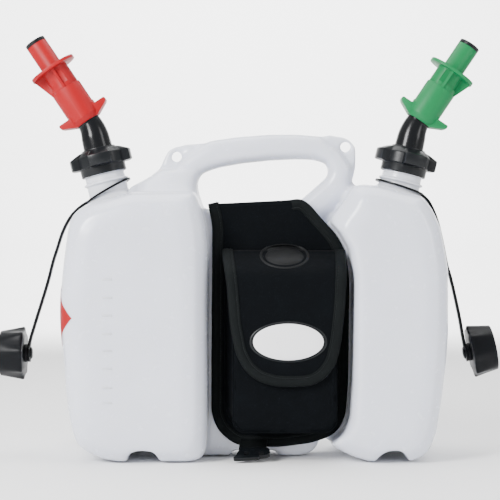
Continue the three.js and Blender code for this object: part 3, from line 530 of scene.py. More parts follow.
def build_sticker():
    """A square grid, laid out along the wall and pressed on the can's own surface."""
    tree = BVHTree.FromObject(can_skin, bpy.context.evaluated_depsgraph_get())
    steps = STICKER_STEPS
    verts = []
    for i in range(steps + 1):
        for j in range(steps + 1):
            u = (i / steps - 0.5) * 2
            v = (j / steps - 0.5) * 2
            path = STICKER_PATH + (u - v) * STICKER_HALF / 2
            z = STICKER_HEIGHT + (u + v) * STICKER_HALF / 2
            bend = max(0.0, path - WALL_HALF_FLAT) / WALL_CORNER
            y = -(min(path, WALL_HALF_FLAT) + WALL_CORNER * math.sin(bend))
            x = WALL_X + WALL_CORNER * (1 - math.cos(bend))
            hit, normal, _, _ = tree.find_nearest(PART @ Vector((x, y, z)))
            verts.append(hit + normal * STICKER_LIFT * MM)
    side = steps + 1
    faces = [
        (i * side + j, (i + 1) * side + j, (i + 1) * side + j + 1, i * side + j + 1)
        for i in range(steps) for j in range(steps)
    ]
    mesh = bpy.data.meshes.new("hazard_lozenge")
    mesh.from_pydata(verts, [], faces)
    item = link("hazard_lozenge", mesh, STICKER)
    thicken(item, STICKER_THICKNESS, 1)
    shade(item, 60)
    install(item, "can")


build_sticker()

# Union nuts
# An injection-moulded nut with four lobes on each neck; its lip clamps the
# elbow's flange and the gasket down on the neck.
BLACK = plastic(
    "black_moulding", (0.004, 0.005, 0.0062), (0.03, 0.034, 0.038), 0.33, 0.12, 0.2,
    specular_ior_level=0.24,
)


def lobed_ring(height, body, lobe, turn, count=144):
    """A ring of the body's radius that swells to the lobe's radius four times."""
    ring = []
    for i in range(count):
        angle = 2 * math.pi * i / count
        wave = min(1, max(0, math.cos(4 * (angle - turn)) * 1.9 + 0.7))
        radius = body + (lobe - body) * wave * wave * (3 - 2 * wave)
        ring.append((radius * math.cos(angle), radius * math.sin(angle), height))
    return ring


def union_nut(side, turn):
    """Rings from the nut's foot up its outside and down its bore; each is (height, body, lobe)."""
    levels = [
        (0, 22.2, 22.2), (0.5, 22.7, 22.7), (1.0, 22.8, 22.8), (7.6, 22.8, 22.8), (8.2, 23.0, 23.6),
        (8.6, 24.0, 29.6), (9.0, 24.2, 30.6), (9.7, 24.2, 31), (18.6, 24.2, 31), (19.5, 24.1, 30.8),
        (20.2, 23.6, 29.9), (20.6, 23.2, 29.0), (22.2, 21.8, 25.8), (23.9, 20.0, 22.2), (25.0, 18.4, 18.9),
        (25.3, 17.6, 17.7), (25.6, 17.1, 17.1), (26.3, 16.9, 16.9), (26.5, 16.6, 16.6), (26.5, 15.4, 15.4),
        (22.4, 15.3, 15.3), (22.3, 20.6, 20.6), (0.3, 20.8, 20.8), (0, 21.1, 21.1),
    ]
    rings = [lobed_ring(z, body, lobe, turn) for z, body, lobe in levels]
    nut = loft(rings + [rings[0]], caps=False)
    name = side + "_union_nut"
    fitted(name + "_look", nut, NECKS[side][0], BLACK, 32, side + "_nut", [name])


union_nut("fuel", math.radians(3))
union_nut("oil", math.radians(15))

# Elbows
# A glossy moulded tube that bends outward and narrows to the spout, with a
# flange at its foot that the union nut holds.
GLOSS_BLACK = plastic(
    "glossy_black_elbow", (0.0015, 0.002, 0.003), (0.02, 0.02, 0.024), 0.2, 0.04, 0.2,
    specular_ior_level=0.3,
)
ELBOW_FOOT = 14.5
ELBOW_WALL = 2.2
ELBOW_TAPER = 2.7
BEND = math.radians(20.2)
SPOUT_OUT = 25.7
SPOUT_UP = 116.9
ELBOW_END = 54.2
SPOUT = Matrix.Translation((-SPOUT_OUT, 0, SPOUT_UP)) @ Matrix.Rotation(-BEND, 4, "Y")


def elbow_rings(foot_radius):
    """Rings up the neck's axis, round the bend and along the spout's axis."""
    def along(distance):
        return Vector((SPOUT_OUT - distance * math.sin(BEND), SPOUT_UP - distance * math.cos(BEND)))

    corner = SPOUT_UP - SPOUT_OUT / math.tan(BEND)
    end = along(66)
    reach = (end - Vector((0, corner))).length
    start = Vector((0, corner - reach))
    middle = Vector((0, corner))
    path = [Vector((0, z)) for z in (22.0, 27.5, 31, 35)]
    for t in (i / 14 for i in range(15)):
        path.append(start * (1 - t) ** 2 + middle * 2 * t * (1 - t) + end * t * t)
    path += [along(d) for d in (62, 58, ELBOW_END)]
    rings = []
    for i, point in enumerate(path):
        before = path[max(0, i - 1)]
        after = path[min(len(path) - 1, i + 1)]
        way = (after - before).normalized()
        radius = foot_radius - ELBOW_TAPER * min(1, max(0, (i - 1) / 16))
        ring = []
        for k in range(64):
            angle = 2 * math.pi * k / 64
            across = radius * math.cos(angle)
            ring.append((-(point.x + way.y * across), radius * math.sin(angle), point.y - way.x * across))
        rings.append(ring)
    return rings


def elbow(side):
    place = NECKS[side][0]
    outside = elbow_rings(ELBOW_FOOT)
    inside = elbow_rings(ELBOW_FOOT - ELBOW_WALL)
    tube = loft(outside + inside[::-1] + [outside[0]], caps=False)
    body = side + "_filler"
    name = side + "_elbow"
    fitted(name + "_look", tube, place, GLOSS_BLACK, 40, body, [name])
    flange = arc_corners([(12.5, 19.6), (19.5, 19.6), (19.5, 22.0), (14.2, 22.0), (12.5, 22.0)], 0.4)
    plate = lathe(flange, closed=True)
    fitted(name + "_flange", plate, place, GLOSS_BLACK, 40, body)


elbow("fuel")
elbow("oil")

# Spout sleeves
# The coloured tube pressed on each elbow: a waisted collar with two finger
# wings below, two guide grooves and a slot for the nose's fin.
RED = plastic(
    "red_moulding", (0.30, 0.0008, 0.0038), (0.5, 0.03, 0.04), 0.46, 0.14, 0.08, specular_ior_level=0.25,
)
GREEN = plastic(
    "green_moulding", (0.0004, 0.155, 0.045), (0.02, 0.25, 0.1), 0.46, 0.14, 0.08, specular_ior_level=0.25,
)
SPOUT_PAINT = {"fuel": (RED, "red_plastic"), "oil": (GREEN, "green_plastic")}


def side_box(sign, x0, x1, near, far, z0, z1):
    """A box between two distances in front of the axis, or behind it."""
    low, high = sorted((near * sign, far * sign))
    return box_shape(x0, x1, low, high, z0, z1)


def sleeve(side):
    place = NECKS[side][0] @ SPOUT
    paint, slot = SPOUT_PAINT[side]
    tube = arc_corners([
        (12.1, -66), (13.6, -66), (16.1, -60.6), (16.1, -26.5), (14.5, -26.5), (14.5, -50),
        (9.6, -50), (9.6, -51.6), (12.1, -51.6), (12.1, -65.5),
    ], 0.5)
    body = solid(side + "_sleeve_look", lathe(tube, closed=True), place, paint)
    wing = [(12.6, -65.6), (25, -59.5), (27, -57.5), (27, -55.4), (26, -54.5), (15, -54.5), (15, -52.6)]
    wings = [(-x, z) for x, z in wing] + wing[::-1]
    ears = solid("wings", prism(wings, -9, 9), place)
    core = lathe([(0, -67), (12.4, -67), (12.4, -52), (14.6, -50), (14.6, -40), (0, -40)])
    combine(ears, solid("core", core, place), "DIFFERENCE")
    combine(body, ears, "UNION")
    cuts = [box_shape(-20, -12.5, -1.8, 1.8, -44, -20)]
    cuts += [side_box(sign, -1.8, 1.8, 14, 15.6, -49, -20) for sign in (-1, 1)]
    cuts.append(box_shape(15.2, 19, -8, 8, -50, -25))
    for cut in cuts:
        combine(body, solid("cut", cut, place), "DIFFERENCE")
    soften_edges(body, 0.45, 38)
    repaint(body, paint)
    install(body, side + "_filler", [side + "_sleeve"])


sleeve("fuel")
sleeve("oil")

# Sliding noses
# The inner tube that is pushed on the tank's rim: a round flange, side ribs,
# a half-open recess and a fin that keeps it from turning in its sleeve.
NOSE_LENGTH = 28
REST = {"fuel": 1.2, "oil": 5.2}


def slider(side):
    place = NECKS[side][0] @ SPOUT
    paint, slot = SPOUT_PAINT[side]
    rest = REST[side]
    top = NOSE_LENGTH - rest
    under = -3.3 - rest
    tube = arc_corners([
        (12, -36), (14.2, -36), (14.2, -33.6), (13, -33.6), (13, -30.8), (14.2, -30.8), (14.2, -1.5 - rest),
        (10.75, -1.5 - rest), (10.75, top), (8.9, top), (8.9, -5 - rest), (12, -5 - rest), (12, -35),
    ], 0.3, 2)
    body = solid(side + "_slider_look", lathe(tube, closed=True), place, paint)
    plate = []
    for z in (-3 - rest, -rest):
        ring = []
        for i in range(72):
            angle = 2 * math.pi * i / 72
            c, s = math.cos(angle), math.sin(angle)
            cx = math.copysign(abs(c) ** (2 / 2.3), c)
            sy = math.copysign(abs(s) ** (2 / 2.3), s)
            ring.append((24.2 * cx, 19.9 * sy, z))
        plate.append(ring)
    flange = solid("flange", loft(plate), place)
    hole = lathe([(0, -20), (9.4, -20), (9.4, 6), (0, 6)])
    combine(flange, solid("hole", hole, place), "DIFFERENCE")
    combine(body, flange, "UNION")
    recess = lathe([(12.3, -22), (15, -22), (15, under), (12.3, under)], 68, closed=True)
    hollow = solid("hollow", recess, place)
    combine(hollow, solid("inner_half", box_shape(-1.4, 20, -20, 20, -30, 5), place), "DIFFERENCE")
    combine(body, hollow, "DIFFERENCE")
    for sign in (-1, 1):
        notch = side_box(sign, 1.4, 6.5, 12.4, 15, -22, under)
        combine(body, solid("notch", notch, place), "DIFFERENCE")
    fin = [(-12.05, -2.5 - rest), (-23.4, -2.5 - rest), (-16, -26), (-12.05, -28.5)]
    combine(body, solid("fin", prism(fin, -1.2, 1.2), place), "UNION")
    for sign in (-1, 1):
        rib = side_box(sign, -1.3, 1.3, 12.2, 15.4, -34, -2.5 - rest)
        combine(body, solid("rib", rib, place), "UNION")
    soften_edges(body, 0.4, 38)
    repaint(body, paint)
    install(body, side + "_nose", [side + "_slider"])


slider("fuel")
slider("oil")

# Valve stems and vent tubes
# A black rod stands still in the elbow and closes the nose with its tip until
# the nose is pushed back; the vent tube beside it lets air into the can.


def valve(side):
    seat = NOSE_LENGTH - REST[side] + 0.3
    tip = lathe(arc_corners([
        (0, seat - 2.5), (8.3, seat - 2.5), (8.3, seat), (10.7, seat), (10.7, seat + 3.1),
        (10.3, seat + 3.5), (4.2, seat + 3.5), (3.6, seat + 2.9), (0, seat + 2.9),
    ], 0.25))
    place = NECKS[side][0] @ SPOUT
    fitted(side + "_valve_tip", tip, place, BLACK, 40, side + "_filler")
    repaint(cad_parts[side + "_valve_stem"], BLACK)
    repaint(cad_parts[side + "_vent_tube"], BLACK)


valve("fuel")
valve("oil")

# Seals
# A rubber gasket lies on each neck's rim, and a rubber ring on the nose keeps
# the sleeve tight.
RUBBER = plastic(
    "seal_rubber", (0.006, 0.0065, 0.007), (0.02, 0.022, 0.023), 0.6, 0.4, 0.2, specular_ior_level=0.15,
)
for seal in ("fuel_neck_gasket", "fuel_slider_seal", "oil_neck_gasket", "oil_slider_seal"):
    repaint(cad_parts[seal], RUBBER)

# Springs
# A coil of round steel wire in each sleeve stands on its floor and pushes the nose out.
STEEL = plastic(
    "spring_steel", (0.55, 0.55, 0.56), (0.8, 0.8, 0.8), 0.25, 0.08, 0.1, metallic=1.0,
)
COIL_RADIUS = 10.9
WIRE_RADIUS = 0.65
COIL_STEPS = 156


def spring(side):
    place = NECKS[side][0] @ SPOUT
    low, high = -49.0, -6.0 - REST[side]
    rings = []
    for i in range(COIL_STEPS + 1):
        angle = i * math.pi / 12
        height = low + (high - low) * i / COIL_STEPS
        ring = []
        for k in range(8):
            around = k * math.pi / 4
            radius = COIL_RADIUS + WIRE_RADIUS * math.cos(around)
            ring.append((
                radius * math.cos(angle), radius * math.sin(angle), height + WIRE_RADIUS * math.sin(around),
            ))
        rings.append(ring)
    item = fitted(
        side + "_spring_look", loft(rings), place, STEEL, 60, side + "_filler",
        [side + "_spring"],
    )
    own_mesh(item)


spring("fuel")
spring("oil")

# Leashes
# Each is moulded in one piece of soft black plastic: a loop under the neck's
# bead, a flat band, and an eye that holds the screw cap.
TETHER = plastic(
    "tether_moulding", (0.003, 0.0036, 0.0048), (0.016, 0.018, 0.021), 0.38, 0.12, 0.2,
    specular_ior_level=0.12,
)
BAND_THICKNESS = 2.6
BAND_HALF_WIDTH = 4.5
FUEL_LEASH = [
    (-158.5, 254.1), (-164.6, 250.9), (-170.5, 246.7), (-177, 240.4), (-182.6, 232), (-187.8, 220.8),
    (-192.7, 205.5), (-197, 192), (-201, 176), (-206, 159), (-212, 140), (-216, 127), (-219, 117),
    (-220.5, 110), (-220.5, 104),
]
OIL_LEASH = [
    (171.3, 260), (178, 253.5), (183.5, 243), (188, 230), (192.5, 210), (196.5, 190),
    (200.5, 176.5), (205, 157.5), (209.3, 137), (212, 121.6), (214, 110.8), (215, 105.9),
]
LOOP_SEATS = {"fuel": (16.7, 16.4, 21.1), "oil": (13.5, 4.5, 20.2)}


def smooth_path(points, steps=5):
    """A smooth line through all the points."""
    points = [Vector(p) for p in points]
    made = []
    for i in range(len(points) - 1):
        a = points[max(0, i - 1)]
        b = points[i]
        c = points[i + 1]
        d = points[min(len(points) - 1, i + 2)]
        for k in range(steps):
            t = k / steps
            made.append(0.5 * (
                2 * b + (c - a) * t + (2 * a - 5 * b + 4 * c - d) * t * t + (3 * b - a - 3 * c + d) * t ** 3
            ))
    made.append(points[-1])
    return made


def band_rings(path, thickness, half_width):
    """Sections of a flat band with broken corners, square to its path."""
    rings = []
    for i, point in enumerate(path):
        before = path[max(0, i - 1)]
        after = path[min(len(path) - 1, i + 1)]
        way = (after - before).normalized()
        across = Vector((way.y, -way.x))
        ring = []
        for side, deep in ((-1, -1), (-1, 1), (1, 1), (1, -1)):
            for end in (0, 1):
                inner = 0.35 if (end == 0) == (side * deep > 0) else 0
                shrink = 0.35 if inner == 0 else 0
                offset = across * (side * (thickness / 2 - inner))
                ring.append((point.x + offset.x, deep * (half_width - shrink), point.y + offset.y))
        rings.append(ring)
    return rings


def leash(side, points, sign):
    """The loop's seat is its drop below the neck's middle, its tilt and its inner radius."""
    drop, tilt, inner = LOOP_SEATS[side]
    neck = NECKS[side][0]
    upright = neck if side == "fuel" else neck @ Matrix.Rotation(math.pi, 4, "Z")
    lean = Matrix.Rotation(math.radians(tilt) * sign, 4, "Y")
    loop_at = upright @ Matrix.Translation((0, 0, -drop)) @ lean
    corners = [(inner, 0), (inner, 1), (25, 1), (25, -1), (inner, -1), (inner, 0)]
    loop = lathe(arc_corners(corners, 0.35, 2), 96)
    body = side + "_tether"
    fitted(side + "_leash_loop", loop, loop_at, TETHER, 40, body, [side + "_leash"])
    band = loft(band_rings(smooth_path(points), BAND_THICKNESS, BAND_HALF_WIDTH))
    fitted(side + "_leash_band", band, Matrix(), TETHER, 50, body)
    corners = [(3.5, 4.5), (3.5, 3.5), (9, 3.5), (9, 5.5), (3.5, 5.5), (3.5, 4.5)]
    eye = lathe(arc_corners(corners, 0.4, 2), 64)
    fitted(side + "_leash_eye", eye, CAP_PLACES[side], TETHER, 40, body)


def cap_place(x, z, turn):
    return Matrix.Translation((x, 0, z)) @ Matrix.Rotation(turn, 4, "Y")


CAP_PLACES = {
    "fuel": cap_place(-225, 101.5, math.pi / 2),
    "oil": cap_place(220.2, 102.9, math.radians(-11) - math.pi / 2),
}
leash("fuel", FUEL_LEASH, -1)
leash("oil", OIL_LEASH, 1)

# Screw caps
# A fluted black cap hangs from each eye by a stud with a pressed button, and
# has a thread and a rubber liner inside.
CAP_LEVELS = [
    (-23.5, 21.9), (-23.2, 22.3), (-20, 22.9), (-15, 23.8), (-9, 24.9), (-4, 25.9), (-1.6, 26.4),
    (-0.9, 26.3), (-0.3, 25.7), (0, 24.9),
]
CAP_DEPTH = 23.5
CAP_POINTS = 192
FLUTE_DEPTH = 2.7


def fluted_rings():
    """Eight V-shaped flutes, deeper toward the cap's top."""
    rings = []
    for z, radius in CAP_LEVELS:
        share = (z + CAP_DEPTH) / CAP_DEPTH
        ring = []
        for i in range(CAP_POINTS):
            angle = 2 * math.pi * i / CAP_POINTS
            ridge = abs(math.cos(4 * angle + 0.5)) ** (1 + 2.5 * share)
            r = radius - FLUTE_DEPTH * share * (1 - ridge)
            ring.append((r * math.cos(angle), r * math.sin(angle), z))
        rings.append(ring)
    return rings


def screw_cap(side):
    place = CAP_PLACES[side]
    body = side + "_screw_cap"
    shell = solid(side + "_cap_look", loft(fluted_rings()), place, TETHER)
    mouth = solid("mouth", lathe([(0, -30), (20.6, -30), (20.6, -2.5), (0, -2.5)], 96), place)
    combine(shell, mouth, "DIFFERENCE")
    soften_edges(shell, 0, 34)
    repaint(shell, TETHER)
    install(shell, body, [side + "_cap"])
    thread = thread_ridge(20.7, 20.7, -0.7, 1.4, -21, -6)
    fitted(side + "_cap_thread", thread, place, TETHER, 40, body)
    stud = arc_corners([(0, -0.5), (9, -0.5), (9, 3.2), (3.2, 3.2), (3.2, 7.7), (0, 7.7)], 0.5)
    fitted(side + "_cap_boss", lathe(stud, 64), place, TETHER, 40, body)
    button = lathe(arc_corners([
        (3.4, 6.6), (3.4, 5.9), (6, 5.9), (6, 6.7), (4.8, 7.4), (3.4, 7.4), (3.4, 6.6),
    ], 0.4), 64)
    name = side + "_cap_button"
    fitted(name + "_look", button, place, TETHER, 40, body, [name])
    repaint(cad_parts[side + "_cap_liner"], RUBBER)


screw_cap("fuel")
screw_cap("oil")

# Bag panels
# A neoprene bag hangs in the recess between the chambers: two sheets joined
# over the bridge, their edges bound with ribbed tape and sewn.
BAG_OUTLINE = [
    (-41.2, 249.7), (-36.8, 229.1), (-37.7, 43.5), (-31.4, 27.7), (-21, 17.9), (-10.8, 12.5),
    (28.1, 11), (59.6, 15), (78.6, 21.3), (88.4, 30), (93.8, 43.5), (96.2, 78.2), (97.2, 166.2),
    (97.2, 179.9), (92.9, 204.5), (84.2, 220.2), (69.7, 235.9), (57.9, 250.1), (49.1, 255.6),
    (40.3, 253.6),
]
PANEL_FACE = -25.6
PANEL_MIDDLE = (30, 130)
PANEL_THICKNESS = 3
TAPE_WIDTH = 10.5
EASING_PASSES = 6


def cloth_group(name, ribbed):
    """Knitted neoprene face, or ribbed tape where the surface has its own strip coordinates; the colour
    carries painted shade in the hollows between threads and a slight painted highlight on their tops.
    """
    tree, given, result = new_group(
        name,
        [("Color", "NodeSocketColor", (0.02, 0.02, 0.02, 1)),
         ("Dust Color", "NodeSocketColor", (0.1, 0.1, 0.1, 1)),
         ("Roughness", "NodeSocketFloat", 0.8), ("Thread Size", "NodeSocketFloat", 1.0),
         ("Depth", "NodeSocketFloat", 0.5)],
        [("Color", "NodeSocketColor"), ("Roughness", "NodeSocketFloat"), ("Normal", "NodeSocketVector")],
    )
    place = add_node(tree, "ShaderNodeTexCoord").outputs["UV" if ribbed else "Object"]
    spread = 1.0 if ribbed else 1000.0
    scaled = add_node(
        tree, "ShaderNodeVectorMath", [(0, place), (1, (spread, spread, spread))], operation="MULTIPLY"
    )
    finer = add_node(
        tree, "ShaderNodeVectorMath", [(0, scaled.outputs[0]), (1, given.outputs["Thread Size"])],
        operation="DIVIDE",
    )
    if ribbed:
        threads = add_node(
            tree, "ShaderNodeTexWave",
            [("Vector", finer.outputs[0]), ("Scale", 0.32), ("Distortion", 0.6), ("Detail", 1.0)],
            wave_type="BANDS", bands_direction="X",
        ).outputs["Fac"]
    else:
        threads = add_node(
            tree, "ShaderNodeTexVoronoi", [("Vector", finer.outputs[0]), ("Scale", 1.1)], feature="F1"
        ).outputs["Distance"]
    place_object = add_node(tree, "ShaderNodeTexCoord").outputs["Object"]
    dust = add_node(tree, "ShaderNodeTexNoise", [("Vector", place_object), ("Scale", 60.0), ("Detail", 5.0)])
    dusty = add_node(
        tree, "ShaderNodeMapRange",
        [("Value", dust.outputs["Fac"]), ("From Min", 0.45), ("From Max", 0.8), ("To Max", 0.35)],
    )
    mixed = add_node(
        tree, "ShaderNodeMix",
        [(0, dusty.outputs["Result"]), (6, given.outputs["Color"]), (7, given.outputs["Dust Color"])],
        data_type="RGBA",
    )
    # Painted shade and highlight: the colour is darkened in the low parts of the thread relief, between
    # threads and ribs, and lifted a little on their tops.
    painted_weave_shade = add_node(
        tree, "ShaderNodeMapRange", [("Value", threads), ("To Min", 0.75), ("To Max", 1.1)]
    )
    tinted = add_node(
        tree, "ShaderNodeHueSaturation", [("Color", mixed.outputs[2]), ("Value", painted_weave_shade.outputs["Result"])]
    )
    rough = add_node(
        tree, "ShaderNodeMath", [(0, dust.outputs["Fac"]), (1, 0.15)], operation="MULTIPLY_ADD"
    )
    tree.links.new(given.outputs["Roughness"], rough.inputs[2])
    bump = add_node(
        tree, "ShaderNodeBump",
        [("Strength", given.outputs["Depth"]), ("Distance", 0.0003), ("Height", threads)],
    )
    tree.links.new(tinted.outputs["Color"], result.inputs["Color"])
    tree.links.new(rough.outputs[0], result.inputs["Roughness"])
    tree.links.new(bump.outputs["Normal"], result.inputs["Normal"])
    return tree


KNIT = cloth_group("knitted_cloth", False)
RIBBED = cloth_group("ribbed_tape", True)


def cloth(name, tree, colour, dust, roughness, thread, depth, **shader_values):
    """A cloth with its colour, the colour of its dust, its thread size and relief."""
    given = {
        "Color": (*colour, 1), "Dust Color": (*dust, 1), "Roughness": roughness, "Thread Size": thread,
        "Depth": depth,
    }
    return material_of(name, tree, given, **shader_values)


NEOPRENE = cloth(
    "neoprene", KNIT, (0.0012, 0.0019, 0.0028), (0.0035, 0.0048, 0.0062), 0.7, 0.9, 0.5,
    sheen_weight=0.006, sheen_roughness=0.4, specular_ior_level=0.06,
)
TAPE = cloth(
    "binding_tape", RIBBED, (0.0042, 0.0056, 0.006), (0.009, 0.0105, 0.0105), 0.62, 1.0, 0.7,
    sheen_weight=0.008, sheen_roughness=0.4, specular_ior_level=0.08,
)
THREAD = cloth(
    "sewing_thread", KNIT, (0.009, 0.011, 0.012), (0.02, 0.02, 0.02), 0.6, 0.3, 0.3,
    specular_ior_level=0.15,
)


def run_lengths(points):
    """Distance along a line at each of its points."""
    lengths = [0]
    for a, b in zip(points, points[1:]):
        lengths.append(lengths[-1] + (b - a).length)
    return lengths


def spaced(points, count):
    """The line's points at count even steps, its two ends included."""
    lengths = run_lengths(points)
    made = []
    for k in range(count + 1):
        at = lengths[-1] * k / count
        i = max(j for j in range(len(points) - 1) if lengths[j] <= at + 1e-9)
        share = (at - lengths[i]) / (lengths[i + 1] - lengths[i])
        made.append(points[i].lerp(points[i + 1], share))
    return made


def resample(points, step, closed=True):
    """Evenly spaced points along the outline, with its corners eased."""
    points = [Vector(p) for p in points]
    if closed:
        points = points + [points[0]]
    made = spaced(points, max(3, round(run_lengths(points)[-1] / step)))
    if closed:
        made.pop()
    for _ in range(EASING_PASSES):
        before = made[-1:] + made[:-1]
        after = made[1:] + made[:1]
        relaxed = [m * 0.5 + (b + a) * 0.25 for b, m, a in zip(before, made, after)]
        if not closed:
            relaxed[0], relaxed[-1] = made[0], made[-1]
        made = relaxed
    return made


def folds(x, z, seed, scale=42.0, deep=1.0):
    """Soft wrinkles of a foam-backed cloth, in millimetres."""
    wide = noise.noise(Vector((x / scale, z / (scale * 1.6), seed)))
    fine = noise.noise(Vector((x / 15, z / 24, seed + 9)))
    return deep * (wide + 0.3 * fine)


def panel_surface(x, z):
    """Depth of the panel's middle layer."""
    return PANEL_FACE + folds(x, z, 7.1, deep=0.6)


def disc_sheet(name, outline, surface, thickness, material, rings=26, step=3.0):
    """Sheet filling an outline with rings towards its middle, laid on a surface y(x, z)."""
    rim = resample(outline, step)
    middle = sum(rim, Vector((0, 0))) / len(rim)
    count = len(rim)
    verts, faces = [], []
    for r in range(rings):
        share = 1 - r / rings
        for p in rim:
            q = middle + (p - middle) * share
            verts.append((q.x, surface(q.x, q.y), q.y))
    verts.append((middle.x, surface(middle.x, middle.y), middle.y))
    for r in range(rings - 1):
        for i in range(count):
            j = (i + 1) % count
            faces.append((r * count + i, r * count + j, (r + 1) * count + j, (r + 1) * count + i))
    last = (rings - 1) * count
    faces += [(last + i, last + (i + 1) % count, len(verts) - 1) for i in range(count)]
    item = solid(name, (verts, faces), Matrix(), material)
    thicken(item, thickness, 0)
    for face in item.data.polygons:
        face.use_smooth = True
    return item


def surface_frame(path, i, surface):
    """Point, tangent, outward normal and inward direction on a cloth surface."""
    def lifted(p):
        return Vector((p.x, surface(p.x, p.y), p.y))

    here = path[i]
    tangent = (lifted(path[min(len(path) - 1, i + 1)]) - lifted(path[max(0, i - 1)])).normalized()
    across = lifted(here + Vector((2, 0))) - lifted(here - Vector((2, 0)))
    upward = lifted(here + Vector((0, 2))) - lifted(here - Vector((0, 2)))
    normal = across.cross(upward).normalized()
    if normal.y > 0:
        normal.negate()
    return lifted(here), tangent, normal, normal.cross(tangent).normalized()


def bound_edge(name, outline, surface, middle, nodes):
    """Woven tape folded over a cloth edge and sewn down, with its row of stitches."""
    path = resample(outline, 2.5, closed=False)
    width = TAPE_WIDTH
    section = [
        (width, -1.3), (width - 0.2, -2.2), (width - 1.6, -2.3), (width - 2.2, -1.9), (width - 2.8, -2.35),
        (width * 0.45, -2.9), (1.4, -2.6), (0.2, -1.6), (-0.3, 0), (0.2, 1.6), (1.4, 2.3),
        (width - 0.6, 2.3), (width, 1.3),
    ]
    rings, stitches = [], []
    for i in range(len(path)):
        at, tangent, normal, inward = surface_frame(path, i, surface)
        if inward.dot(Vector((middle[0], at.y, middle[1])) - at) < 0:
            inward.negate()
        ripple = 0.25 * noise.noise(Vector((i * 0.35, 1.7, middle[0])))
        rings.append([at + inward * a - normal * (d - ripple) for a, d in section])
        stitches.append((at + inward * (width - 2.2) + normal * 2.15, tangent, normal))
    count = len(section)
    along = run_lengths(path)
    around = run_lengths([Vector(p) for p in section])
    faces, coords = [], []
    for k in range(len(rings) - 1):
        for s in range(count - 1):
            here, ahead = k * count + s, (k + 1) * count + s
            faces.append((here, ahead, ahead + 1, here + 1))
            coords += [
                (along[k], around[s]), (along[k + 1], around[s]),
                (along[k + 1], around[s + 1]), (along[k], around[s + 1]),
            ]
    mesh = bpy.data.meshes.new(name)
    mesh.from_pydata([PART @ p for ring in rings for p in ring], [], faces)
    strip = mesh.uv_layers.new(name="strip")
    for i, pair in enumerate(coords):
        strip.data[i].uv = pair
    item = link(name, mesh, TAPE)
    shade(item, 80)
    install(item, "can", nodes)
    return item, sew(name + "_stitches", stitches)


def sew(name, places):
    """Short raised stitches lying along their seam."""
    verts, faces = [], []
    for at, tangent, normal in places:
        side = tangent.cross(normal).normalized()
        base = len(verts)
        for share, fat in ((-1, 0.1), (-0.7, 0.28), (0, 0.34), (0.7, 0.28), (1, 0.1)):
            centre = at + tangent * share * 0.95 + normal * (0.25 - 0.25 * share * share)
            for k in range(6):
                angle = k * math.pi / 3
                verts.append(PART @ (centre + (side * math.cos(angle) + normal * math.sin(angle)) * fat))
        for r in range(4):
            for k in range(6):
                j = (k + 1) % 6
                a = base + r * 6
                faces.append((a + k, a + j, a + 6 + j, a + 6 + k))
        faces.append(tuple(base + k for k in reversed(range(6))))
        faces.append(tuple(base + 24 + k for k in range(6)))
    mesh = bpy.data.meshes.new(name)
    mesh.from_pydata(verts, [], faces)
    item = link(name, mesh, THREAD)
    shade(item, 60)
    return install(item, "can")


def mirrored(item, name, nodes=()):
    """The same piece on the can's back."""
    twin = link(name, item.data.copy())
    twin.data.transform(Matrix.Scale(-1, 4, Vector((0, 1, 0))))
    twin.data.flip_normals()
    return install(twin, "can", nodes)


def build_panels():
    front = disc_sheet("bag_panel_look", BAG_OUTLINE, panel_surface, PANEL_THICKNESS, NEOPRENE)
    install(front, "can")
    tape, stitches = bound_edge(
        "bag_front_tape", BAG_OUTLINE, panel_surface, PANEL_MIDDLE, ["bag_front_binding"]
    )
    back = mirrored(front, "bag_back_look")
    sewn_on = [
        mirrored(tape, "bag_back_tape", ["bag_back_binding"]),
        mirrored(stitches, "bag_back_tape_stitches"),
    ]
    repaint(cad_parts["bag_panel"], NEOPRENE)


build_panels()

# Pouch
# A gusseted neoprene box, cut and sewn with piping along its front edge, open
# at the top; its walls sag a little between their seams.
POUCH_BACK = -26.2
POUCH_FRONT = -67.0
POUCH_MOUTH = 180
POUCH_FACE_FROM = -64
POUCH_LIDS_FROM = -60
POUCH_THICKNESS = 2.2
POUCH_WALL_ROWS = 13
POUCH_FACE_ROWS = 22


def rounded_rectangle(x0, x1, z0, z1, corner, count=168):
    """Even points round a rectangle with quarter-round corners."""
    points = []
    for cx, cz, start in (
        (x0 + corner, z0 + corner, 180), (x1 - corner, z0 + corner, 270),
        (x1 - corner, z1 - corner, 0), (x0 + corner, z1 - corner, 90),
    ):
        for step in range(10):
            angle = math.radians(start + step * 10)
            points.append(Vector((cx + corner * math.cos(angle), cz + corner * math.sin(angle))))
    return spaced(points + [points[0]], count)[:-1]


def pouch_rings(base, face):
    """Gusset walls from the panel outward, then rings toward the middle of the face."""
    rim_y = POUCH_FRONT + 1.5
    centre = sum(face, Vector((0, 0))) / len(face)
    rings = []
    for i in range(POUCH_WALL_ROWS):
        t = i / (POUCH_WALL_ROWS - 1)
        sag = 3.2 * math.sin(math.pi * min(1, t * 1.05)) ** 1.4
        ring = []
        for b, f in zip(base, face):
            p = b.lerp(f, t)
            outward = (p - centre).normalized()
            p = p - outward * (sag + 0.5 * noise.noise(Vector((p.x / 14, p.y / 22, t * 5))))
            ring.append((p.x, POUCH_BACK + (rim_y - POUCH_BACK) * t, p.y))
        rings.append(ring)
    for r in range(POUCH_FACE_ROWS):
        share = 1 - r / POUCH_FACE_ROWS
        rim = min(1, (1 - share) * 9)
        puff = 1.5 * (1 - (1 - rim) ** 2) + 0.8 * (1 - share ** 2)
        ring = []
        for f in face:
            q = centre + (f - centre) * share
            ring.append((q.x, rim_y - puff + folds(q.x, q.y, 1.9, 38, 0.8) * rim, q.y))
        rings.append(ring)
    return rings


